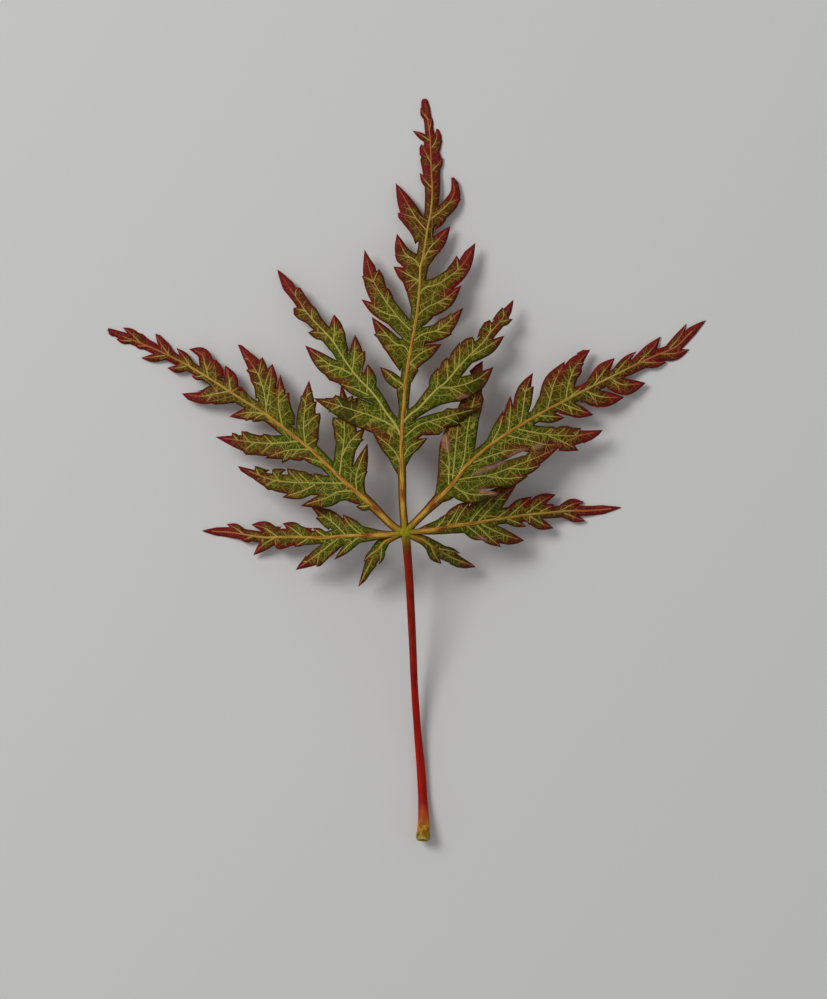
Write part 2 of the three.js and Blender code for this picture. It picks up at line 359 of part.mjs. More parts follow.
    leaflets: [
      [[19.6, 13.6, 20.4, 14.5, 20.88, 15.45], 0.23, []],
      [[17.3, 12.6, 18.3, 13.55, 18.95, 14.5], 0.33, []],
      [[15.6, 11.8, 16.5, 12.8, 17.2, 13.4], 0.22, []],
      [[14.0, 10.95, 14.75, 11.95, 15.55, 12.9], 0.4, [14.1, 12.15]],
      [
        [11.9, 9.8, 12.1, 11.0, 12.7, 12.4, 13.72, 13.5], 0.52,
        [12.1, 12.5, 13.28, 12.5, 13.1, 11.85],
      ],
      [[12.2, 10.0, 12.7, 10.4, 13.2, 10.85], 0.24, []],
      [
        [10.5, 9.0, 10.8, 10.2, 11.1, 11.2, 11.85, 12.65], 0.52,
        [11.3, 12.05, 10.5, 11.35, 10.15, 10.85],
      ],
      [[8.55, 8.0, 8.75, 9.4, 8.95, 10.6, 9.47, 11.8], 0.48, [8.6, 10.85, 9.53, 10.75]],
      [[7.6, 7.4, 7.75, 8.7, 7.78, 10.1], 0.3, []],
      [[6.4, 6.6, 7.0, 7.8, 7.25, 9.0], 0.3, []],
      [
        [3.9, 4.1, 4.35, 5.4, 4.5, 6.8, 4.8, 8.6, 5.3, 10.6, 5.75, 12.67], 0.7,
        [2.4, 4.3],
      ],
      [[3.2, 3.5, 3.25, 5.2, 3.1, 6.4, 2.95, 7.5], 0.46, [2.46, 5.42]],
      [[3.5, 3.9, 3.65, 5.4, 3.8, 7.0, 4.1, 9.2], 0.75, []],
      [[18.9, 13.2, 20.0, 13.25, 21.1, 13.55], 0.33, []],
      [[17.6, 12.6, 18.6, 12.55, 19.4, 12.6], 0.26, []],
      [[15.2, 11.4, 16.2, 10.9, 17.85, 11.05], 0.48, [16.1, 10.12]],
      [[13.4, 10.4, 14.6, 10.0, 16.25, 9.98], 0.48, [14.35, 9.2]],
      [[11.6, 9.5, 12.6, 9.1, 13.95, 8.65], 0.4, [12.45, 8.5]],
      [[9.8, 8.6, 10.7, 8.55, 11.8, 8.45], 0.32, []],
      [
        [8.3, 7.6, 9.8, 7.3, 11.2, 7.15, 12.9, 7.15, 14.65, 7.55], 0.58,
        [12.0, 7.85, 13.0, 7.7, 11.0, 7.8],
      ],
      [[10.6, 7.1, 11.8, 6.6, 12.85, 6.0], 0.38, []],
      [[7.6, 7.1, 9.2, 6.75, 10.4, 6.45, 11.5, 6.5], 0.55, []],
      [[5.0, 5.1, 6.4, 5.65, 7.8, 6.05, 9.05, 6.1], 0.42, [7.5, 5.6]],
      [[3.6, 3.8, 5.0, 4.05, 6.4, 4.25, 8.0, 4.85, 9.8, 5.55, 11.5, 6.35], 0.62, [9.3, 5.95]],
      [[7.6, 4.7, 8.9, 4.65, 10.05, 4.95], 0.3, []],
      [[6.0, 4.1, 7.6, 3.95, 9.1, 4.15], 0.42, []],
      [[3.4, 3.5, 4.3, 2.95, 5.4, 2.75, 7.0, 2.9], 0.44, [4.85, 2.2]],
    ],
    webs: [
        [5.75, 12.67, 5.25, 12.35, 4.75, 11.9, 5, 11.4, 5.5, 12],
        [5.15, 6.1, 5.3, 7.1, 5.45, 8.2, 5.7, 9.2,
         5.82, 9.8, 5.7, 10.2, 5.3, 9.5, 4.9, 7.5, 4.7, 6.2],
        [2.46, 5.4, 2.48, 5, 2.6, 4.6, 2.9, 4.7, 2.8, 5.2],
        [2.4, 4.3, 2.36, 3.9, 2.45, 3.4, 2.2, 2.9, 2.7, 3, 2.7, 4],
        [2.7, 2.15, 3.3, 2.35, 3.75, 2.65, 3.4, 2.9, 2.9, 2.5],
        [9.3, 8.9, 9.6, 9.4, 9.75, 9.75, 9.9, 10, 10.1, 9.5, 9.8, 9],
        [9.53, 10.75, 9.45, 10.2, 9.35, 9.5, 9.2, 9, 9, 9.6, 9.1, 10.6],
        [14.6, 10.55, 14.9, 10.75, 15.3, 10.5, 15.9, 10.2, 15.8, 10.6, 15, 11],
        [12.8, 9.55, 13.2, 9.6, 13.7, 9.35, 14.35, 9.2, 14.2, 9.6, 13.4, 9.95],
        [11.3, 8.8, 11.6, 8.7, 12, 8.6, 12.45, 8.5, 12.2, 8.9, 11.6, 9.1],
        [16.2, 11.45, 16.8, 11.65, 17.4, 11.95, 18, 12.2, 17.6, 12.4, 16.6, 12],
        [13.72, 13.5, 13.2, 13.5, 12.7, 13.25, 12.9, 13],
        [13.28, 12.5, 13.1, 12.2, 13.1, 11.85, 12.8, 12.1],
        [13, 10.75, 13.4, 11.1, 13.7, 11.6, 13.9, 11.9, 14.2, 11.6, 13.8, 10.9],
        [14.65, 7.55, 14.3, 7.15, 13.8, 6.8, 13.2, 6.55, 13, 6.8, 14, 7.3],
        [12, 7.85, 12.4, 7.72, 13, 7.7, 12.8, 7.5, 12.1, 7.5],
        [11.3, 6, 11.9, 5.95, 12.85, 6, 12.2, 6.2, 11.4, 6.3],
        [11.5, 6.35, 11.1, 6, 10.6, 5.5, 10.1, 5.1, 10.2, 5.5, 10.9, 6.1],
    ],
    branches: [],
  },
];

// Centre line of the stalk: x and y from the heart, z above the surface.
const STALK_PATH = [
  [0.0, 0.25, 4.98], [0.05, -0.3, 4.88], [0.14, -1.0, 4.68], [0.36, -4.0, 3.75],
  [0.57, -8.1, 2.45], [0.68, -11.2, 1.5], [0.9, -14.5, 0.75], [1.15, -17.2, 0.4],
  [1.31, -19.6, 0.38], [1.38, -21.4, 0.66], [1.37, -22.4, 0.92],
].map(([x, y, z]) => new THREE.Vector3(x, y, z));

// ---- flat outlines ----

const pairs = (list) => Array.from({ length: list.length / 2 }, (_, i) => (
  new THREE.Vector2(list[2 * i], list[2 * i + 1])));

function ribCurve(rib) {
  return new THREE.SplineCurve(Array.from({ length: rib.length / 3 }, (_, i) => (
    new THREE.Vector2(rib[3 * i], rib[3 * i + 1]))));
}

// Half width along a leaflet, from its root (0) to its tip (1).
function leafletWidth(t) {
  if (t < WIDEST_AT) {
    return ROOT_WIDTH + (1 - ROOT_WIDTH) * Math.sin((Math.PI / 2) * (t / WIDEST_AT));
  }
  return Math.cos((Math.PI / 2) * ((t - WIDEST_AT) / (1 - WIDEST_AT)));
}

// The outline that runs up one side of a centre line and down the other. Each station has a
// point, a direction, and the half widths to its left and right.
function outline(stations) {
  const side = ({ point, direction }, offset) => new THREE.Vector2(
    point.x - direction.y * offset,
    point.y + direction.x * offset,
  );
  const points = [
    ...stations.map((station) => side(station, -station.right)),
    ...stations.map((station) => side(station, station.left)).reverse(),
  ];
  return points.filter((point, i) => i === 0 || point.distanceTo(points[i - 1]) > SAME_POINT);
}

function stationsAlong(curve, step, widthAt, leftFullness = 1, rightFullness = 1) {
  const steps = Math.max(2, Math.ceil(curve.getLength() / step));
  return Array.from({ length: steps + 1 }, (_, i) => {
    const width = widthAt(i / steps);
    return {
      point: curve.getPointAt(i / steps),
      direction: curve.getTangentAt(i / steps),
      left: width * leftFullness,
      right: width * rightFullness,
    };
  });
}

// The nearest of a curve's evenly spaced points to a given one.
function nearestOn(curve, target) {
  const samples = curve.getSpacedPoints(SAMPLES);
  const distances = samples.map((point) => point.distanceTo(target));
  const distance = Math.min(...distances);
  const index = distances.indexOf(distance);
  return { samples, distance, index, direction: curve.getTangentAt(index / SAMPLES) };
}

// A leaflet leans forward from its rib. Its rear side is fuller, and its rear edge runs back
// along the rib as a narrow wing.
function leafletOutline([vein, halfWidth], ribs) {
  const points = pairs(vein);
  const curve = new THREE.SplineCurve(points);
  const joint = ribs.map((rib) => nearestOn(rib, points[0]))
    .reduce((best, next) => (next.distance < best.distance ? next : best));
  const heading = curve.getTangentAt(0);
  const leftIsRear = heading.cross(joint.direction) < 0;
  const shape = outline(stationsAlong(
    curve, VEIN_STEP, (t) => halfWidth * leafletWidth(t),
    leftIsRear ? REAR_FULLNESS : 1, leftIsRear ? 1 : REAR_FULLNESS));
  if (joint.distance > WING_REACH) return shape;
  const wing = points[0].clone().addScaledVector(joint.direction, -WING_LENGTH * halfWidth);
  return leftIsRear ? [...shape.slice(0, -1), wing] : [wing, ...shape.slice(1)];
}

function ribOutline(rib) {
  const curve = ribCurve(rib);
  const last = rib.length / 3 - 1;
  return outline(stationsAlong(curve, RIB_STEP, (t) => {
    const place = Math.min(curve.getUtoTmapping(t) * last, last - 1e-9);
    const before = Math.floor(place);
    const share = place - before;
    return rib[3 * before + 2] * (1 - share) + rib[3 * (before + 1) + 2] * share;
  }));
}

// A tooth starts on the vein, a little further back than the point nearest to its tip.
function toothOutline(tip, curve) {
  const { samples, distance, index } = nearestOn(curve, tip);
  const back = Math.round((TOOTH_LEAN * distance * 2 * SAMPLES) / curve.getLength());
  const start = Math.max(0, index - back);
  const length = samples[start].distanceTo(tip);
  const line = new THREE.LineCurve(samples[start], tip);
  const leftIsRear = line.getTangentAt(0).cross(curve.getTangentAt(start / SAMPLES)) < 0;
  return outline(stationsAlong(
    line, length / 3, (t) => TOOTH_WIDTH * length * leafletWidth(t),
    leftIsRear ? TOOTH_REAR : 1, leftIsRear ? 1 : TOOTH_REAR));
}

function lobeOutlines(lobe) {
  const branches = lobe.branches.map((branch) => ({ ...branch, curve: ribCurve(branch.rib) }));
  const ribs = [ribCurve(lobe.rib), ...branches.map((branch) => branch.curve)];
  const teethOn = (tips, curve) => pairs(tips).map((tip) => toothOutline(tip, curve));
  return [
    ribOutline(lobe.rib),
    ...branches.flatMap((branch) => [
      ribOutline(branch.rib), ...teethOn(branch.teeth, branch.curve)]),
    ...lobe.leaflets.flatMap((leaflet) => [
      leafletOutline(leaflet, ribs),
      ...teethOn(leaflet[2], new THREE.SplineCurve(pairs(leaflet[0])))]),
    ...lobe.webs.map(pairs),
  ];
}

// ---- solids ----

const wasm = await Module();
wasm.setup();

function toSolid(geometry) {
  const bare = geometry.clone();
  bare.deleteAttribute('normal');
  bare.deleteAttribute('uv');
  const merged = mergeVertices(bare, 1e-5);
  return new wasm.Manifold(new wasm.Mesh({
    numProp: 3,
    vertProperties: new Float32Array(merged.attributes.position.array),
    triVerts: new Uint32Array(merged.index.array),
  }));
}

const join = (solids) => solids.reduce((whole, next) => whole.add(next));

// A plan without the enclosed openings that are too small to be part of the leaf's shape.
function withoutSpecks(plan) {
  const areaOf = (ring) => new wasm.CrossSection([ring], 'NonZero').area();
  const rings = plan.toPolygons().filter((ring) => areaOf(ring) > SMALLEST_OPENING);
  return new wasm.CrossSection(rings, 'Positive');
}

// All of a lobe's outlines joined in the plan, and given the blade's thickness.
function flatLobe(lobe) {
  const shapes = lobeOutlines(lobe).map((points) => new wasm.CrossSection(
    [points.map((point) => [point.x, point.y])], 'NonZero'));
  const plan = wasm.CrossSection.union(shapes).simplify(PLAN_DETAIL);
  return withoutSpecks(plan).offset(CORNER_OVERLAP, 'Miter').extrude(BLADE_THICKNESS);
}

// Height of a lobe's underside: level at the heart, arching down, and level again where its
// tip rests, with leaflets that droop a little further the longer they are.
function undersideHeight(x, y, lobe) {
  const reach = lobe.reach - TIP_REST;
  const share = Math.min(1, Math.hypot(x, y) / reach);
  const arch = 1 - 3 * share ** 2 + 2 * share ** 3;
  const last = lobe.rib.length - 3;
  const axis = new THREE.Vector2(lobe.rib[last], lobe.rib[last + 1]).normalize();
  const aside = Math.abs(x * axis.y - y * axis.x);
  const sag = SIDE_SAG * Math.max(0, aside - SAG_START) ** 2;
  return Math.max(0, HEART_HEIGHT * arch - sag);
}

// Halves every edge that is longer than the limit, in both of the triangles that share it.
function refine(positions, triangles, limit) {
  const middles = new Map();
  const gap = (a, b) => Math.hypot(...[0, 1, 2].map((k) => positions[3 * a + k] - positions[3 * b + k]));
  const middleOf = (a, b) => {
    const key = a < b ? `${a},${b}` : `${b},${a}`;
    if (!middles.has(key)) {
      middles.set(key, positions.length / 3);
      for (let k = 0; k < 3; k += 1) positions.push((positions[3 * a + k] + positions[3 * b + k]) / 2);
    }
    return middles.get(key);
  };
  let split = false;
  const result = [];
  for (const [a, b, c] of triangles) {
    const lengths = [gap(a, b), gap(b, c), gap(c, a)];
    const longest = lengths.indexOf(Math.max(...lengths));
    const [p, q, r] = [[a, b, c], [b, c, a], [c, a, b]][longest];
    result.push([p, q, r, lengths[longest] > limit]);
  }
  const cut = new Set(result.filter((t) => t[3]).map(([p, q]) => (p < q ? `${p},${q}` : `${q},${p}`)));
  const isCut = (a, b) => cut.has(a < b ? `${a},${b}` : `${b},${a}`);
  const next = [];
  const divide = (p, q, r) => {
    const sides = [[p, q, r], [q, r, p], [r, p, q]];
    const marked = sides.filter(([a, b]) => isCut(a, b));
    if (marked.length === 0) {
      next.push([p, q, r]);
      return;
    }
    split = true;
    marked.sort((m, n) => gap(n[0], n[1]) - gap(m[0], m[1]));
    const [a, b, c] = marked[0];
    const middle = middleOf(a, b);
    divide(a, middle, c);
    divide(middle, b, c);
  };
  for (const [p, q, r] of result) divide(p, q, r);
  return split ? refine(positions, next, limit) : next;
}

function bentLobe(lobe) {
  const flat = flatLobe(lobe).getMesh();
  const positions = Array.from(flat.vertProperties);
  const corners = Array.from({ length: flat.triVerts.length / 3 }, (_, i) => (
    Array.from(flat.triVerts.slice(3 * i, 3 * i + 3))));
  const triangles = refine(positions, corners, LONGEST_EDGE);
  for (let i = 0; i < positions.length; i += 3) {
    positions[i + 2] += undersideHeight(positions[i], positions[i + 1], lobe);
  }
  return new wasm.Manifold(new wasm.Mesh({
    numProp: 3,
    vertProperties: new Float32Array(positions),
    triVerts: new Uint32Array(triangles.flat()),
  }));
}

function stalk() {
  const section = new THREE.Shape();
  section.absarc(0, 0, STALK_RADIUS, 0, 2 * Math.PI);
  return toSolid(new THREE.ExtrudeGeometry(section, {
    extrudePath: new THREE.CatmullRomCurve3(STALK_PATH),
    steps: STALK_STEPS,
    curveSegments: STALK_SIDES / 2,
  }));
}

// The swollen foot: a turned shape that runs from the stalk's own radius to a blunt end.
function foot() {
  const profile = [
    [0, 0], [FOOT_RADIUS * 0.8, 0.02], [FOOT_RADIUS, 0.22], [FOOT_RADIUS, 0.6],
    [FOOT_RADIUS * 0.86, 1.2], [STALK_RADIUS * 1.06, 1.9], [STALK_RADIUS * 0.9, FOOT_LENGTH],
    [0, FOOT_LENGTH],
  ].map(([r, y]) => new THREE.Vector2(r, y));
  const [above, end] = STALK_PATH.slice(-2);
  const geometry = new THREE.LatheGeometry(profile, STALK_SIDES);
  const direction = above.clone().sub(end).normalize();
  const start = end.clone().addScaledVector(direction, -0.45);
  geometry.applyQuaternion(new THREE.Quaternion().setFromUnitVectors(
    new THREE.Vector3(0, 1, 0), direction));
  geometry.translate(start.x, start.y, start.z);
  return toSolid(geometry);
}

// The knuckle where the lobes' ribs meet the stalk.
function heart() {
  const geometry = new THREE.SphereGeometry(HEART_RADIUS, 14, 8);
  geometry.scale(1, 1, 0.62);
  geometry.translate(0, 0, HEART_HEIGHT + BLADE_THICKNESS / 2);
  return toSolid(geometry);
}

// ---- the part ----

function leafMesh() {
  const solid = join([...LOBES.map(bentLobe), stalk(), foot(), heart()]);
  const mesh = solid.getMesh();
  const geometry = new THREE.BufferGeometry();
  geometry.setAttribute('position', new THREE.BufferAttribute(mesh.vertProperties, 3));
  geometry.setIndex(new THREE.BufferAttribute(mesh.triVerts, 1));
  geometry.translate(-PLAN_ORIGIN.x, -PLAN_ORIGIN.y, 0);
  geometry.computeVertexNormals();
  const leaf = new THREE.Mesh(geometry, new THREE.MeshStandardMaterial({
    color: 0x65651f, roughness: 0.55, metalness: 0,
  }));
  leaf.name = 'maple_leaf';
  return leaf;
}

const part = new THREE.Group();
part.add(leafMesh());

export default part;
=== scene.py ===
"""A fallen leaf of a cut-leaf Japanese maple, lying face up on a pale surface.

Plan sizes are in millimetres, measured from the heart, where the lobes meet the stalk: x to the
right, y towards the tip of the middle lobe. Meshes are written in metres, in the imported
model's own frame.
"""

import functools
import math

import bpy
import numpy as np
from mathutils import Color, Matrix
from mathutils.geometry import delaunay_2d_cdt
from mathutils.kdtree import KDTree


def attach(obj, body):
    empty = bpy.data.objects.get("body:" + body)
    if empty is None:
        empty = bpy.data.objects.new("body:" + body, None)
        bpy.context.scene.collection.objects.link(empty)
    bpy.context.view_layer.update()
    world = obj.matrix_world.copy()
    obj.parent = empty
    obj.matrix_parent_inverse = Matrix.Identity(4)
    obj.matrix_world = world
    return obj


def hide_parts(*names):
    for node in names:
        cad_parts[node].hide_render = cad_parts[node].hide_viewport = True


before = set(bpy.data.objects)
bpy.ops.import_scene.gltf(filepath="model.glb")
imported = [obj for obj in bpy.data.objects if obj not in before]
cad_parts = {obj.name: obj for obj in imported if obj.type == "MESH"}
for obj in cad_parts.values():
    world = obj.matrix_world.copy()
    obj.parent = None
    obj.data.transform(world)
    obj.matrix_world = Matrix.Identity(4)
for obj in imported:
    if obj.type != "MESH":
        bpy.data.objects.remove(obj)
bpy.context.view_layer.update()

bl_info = {
    "name": "Maple leaf",
    "version": (1, 0, 0),
    "blender": (4, 5, 0),
    "location": "View3D > Sidebar > Maple leaf",
    "description": "Makes a fallen cut-leaf maple leaf: blade, veins and stalk",
    "category": "Add Mesh",
}

MM = 0.001
NODE = "maple_leaf"
PLAN_CENTRE = (0.12, 4.53)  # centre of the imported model's box, from the heart

# ---- how the leaf lies ----

HEART_HEIGHT = 5.0  # underside of the blade at the heart
SIDE_SAG = 0.01  # how fast leaflets droop away from their lobe's axis
SAG_START = 1.0  # how far from that axis the droop begins
TIP_REST = 0.7  # length of each main tip that lies flat

# ---- the relief of the blade ----

RELIEF_GROWS = (1.0, 4.0)  # distances from the heart between which waves, curl and folds set in
WAVES = ((1.9, 0.8, 0.4), (-1.1, 2.3, 2.0))  # radians for a millimetre of x, of y, and at the heart
QUILT_WIDTH = 0.5  # how far from a vein the blade has risen to its quilted height
CURL_WIDTH = 0.16  # distance over which the turned-down margin fades to about a third
FOLD_WIDTH = 0.9  # how far from a vein the blade slopes down
ROLL_FADES = (0.55, 1.1)  # shares of a rolled place's size between which it fades out
MARGIN_THICKNESS = 0.45  # share of the blade's thickness that its margin has
MARGIN_WIDTH = 0.25  # distance over which the blade reaches its full thickness
HEART_CLEAR = 2.5  # lobes nearer the heart than this don't count as covering each other

# ---- how far the blade has turned from green to crimson ----

LOBE_TURNS = (0.3, 0.9)  # shares of a lobe's reach between which its end turns
END_TURN = 0.66  # how much the end of a lobe turns
TIP_TURN = 0.5  # how much the tip of a vein turns near the heart
OUTER_TURN = 0.2  # and how much more it turns at the end of a lobe
# For a vein of each rank, the shares of its length between which its blade turns, how far it has
# turned before them, and how much it turns between them.
TURNING = [(0.7, 0.95, 0, 1), (0.55, 0.92, 0, 1), (0.38, 0.8, 0, 1), (0.2, 0.9, 0.08, 0.62)]
BARE_ALONG = (0.1, 0.2)  # shares of a lobe's reach between which the bare strip ends
BARE_BESIDE = (0.3, 0.45)  # distances from the rib between which it ends

# ---- how veins are drawn ----

VEIN_STEP = 0.25  # spacing of points along a vein
SUNK = 0.4  # share of its radius by which a vein's middle lies under the blade's upper face
RIB_ENDS = 0.96  # share of its length at which a rib's strand ends, short of its tip
VEIN_ENDS = 0.9  # the same for every other vein
RIB_OUT = 0.95  # how far out in its lobe a rib's tip counts as being, at least
SHORT_RIB = 0.45  # share of the full thickness that a very short rib has
STURDY_LENGTH = 30  # length of rib that would add one whole thickness, which is the most in all
RIB_END = 0.26  # share of its thickness that a rib keeps at its end
RIB_TAPER = 1.15  # above 1, a rib narrows faster near the heart
# Share of the thickness at the tip, and how much more at the root: branches, leaflets and teeth.
TAPERS = {1: (0.14, 0.36), 2: (0.45, 0.55), 3: (0.35, 0.3)}
TAN_FADES = (0.35, 0.95)  # shares of a lobe's reach between which its rib turns from tan
TAN_LOSS = 0.8  # how much of the tan is gone past them
SIDE_FIRST = 0.6  # where the first side vein leaves, from the root, in gaps
SIDE_LAST = 0.7  # how far from the tip the last one may leave, in gaps
SIDE_STEPS = 17  # points along a fine side vein
SIDE_OUT = 1.5  # how far it may run outwards
SIDE_FORWARD = 0.75  # how far it runs forward meanwhile
SIDE_BEND = 0.35  # how far it bends forward, and how much its slant differs from one to the next
SIDE_SWAY = 0.07  # how far it wanders forward and back
SWAY_OUT = 0.6  # share of that by which it wanders outwards too
SWAY_TURN = 8  # radians of that wandering along a side vein
SWAY_SHIFT = 2.3  # radians of it from one side vein to the next
SLANT_SHIFT = 1.9  # the same for the slant
SIDE_FEWEST = 3  # a side vein with fewer points is left out
SIDE_RADIUS = 0.36  # share of a leaflet vein's radius that it has at its root
SIDE_CLEAR = 0.08  # how far from the margin it stops

# ---- the stage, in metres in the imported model's frame ----

FLOOR_HALF = 3.0
LAMP_PLACE = (-0.26, 0.19, 0.36)
LAMP_SIZE = 0.22
DAYLIGHT = (0.95, 0.97, 1.0, 1.0)
CAMERA_PLACE = (0.51 * MM, -2.12 * MM)
FOCAL_LENGTH = 200.0  # this and the sensor in millimetres
SENSOR = 36.0

# ---- how an outline is drawn ----

EDGE_STEP = 0.13  # spacing of points along an outline
GRID_STEP = 0.14  # spacing of points inside it
GRID_CLEAR = 0.07  # how far inside points stay from the outline
SMALLEST_OPENING = 0.3  # enclosed openings under this many square millimetres are filled
WIDEST_AT = 0.4  # share of a leaflet's length where it is widest
ROOT_WIDTH = 0.9  # share of that width at its root
REAR_FULLNESS = 1.6  # how much wider a leaflet is behind its vein than in front
WING_LENGTH = 3.0  # how far a leaflet runs back along its rib, in half widths
WING_REACH = 0.9  # only leaflets that start this near a rib run back along it
TOOTH_WIDTH = 0.2  # half width of a tooth, as a share of its length
TOOTH_REAR = 1.9  # how much wider a tooth is behind its vein than in front
TOOTH_LEAN = 1.1  # how far back along the vein a tooth starts, in distances of its tip from it
TOOTH_BOW = 0.04  # how far a tooth bows forward, as a share of its length
SPAN_STEPS = 24  # points for each stretch between two given points of a curve

# ---- the plan of the blade ----
#
# A lobe has a rib, written x, y, half width for each point, and leaflets on both sides of it.
# Its reach is how far from the heart its arch comes down: to the tip of a long lobe, and past the
# tip of a basal one, which stays up.
# A leaflet is its vein from root to tip, its greatest half width, and the tips of its teeth.
# Webs are the corners of blade that fill the angles between teeth, leaflets and ribs.
# A branch has a rib and teeth of its own. Its leaflets are listed with the lobe's.

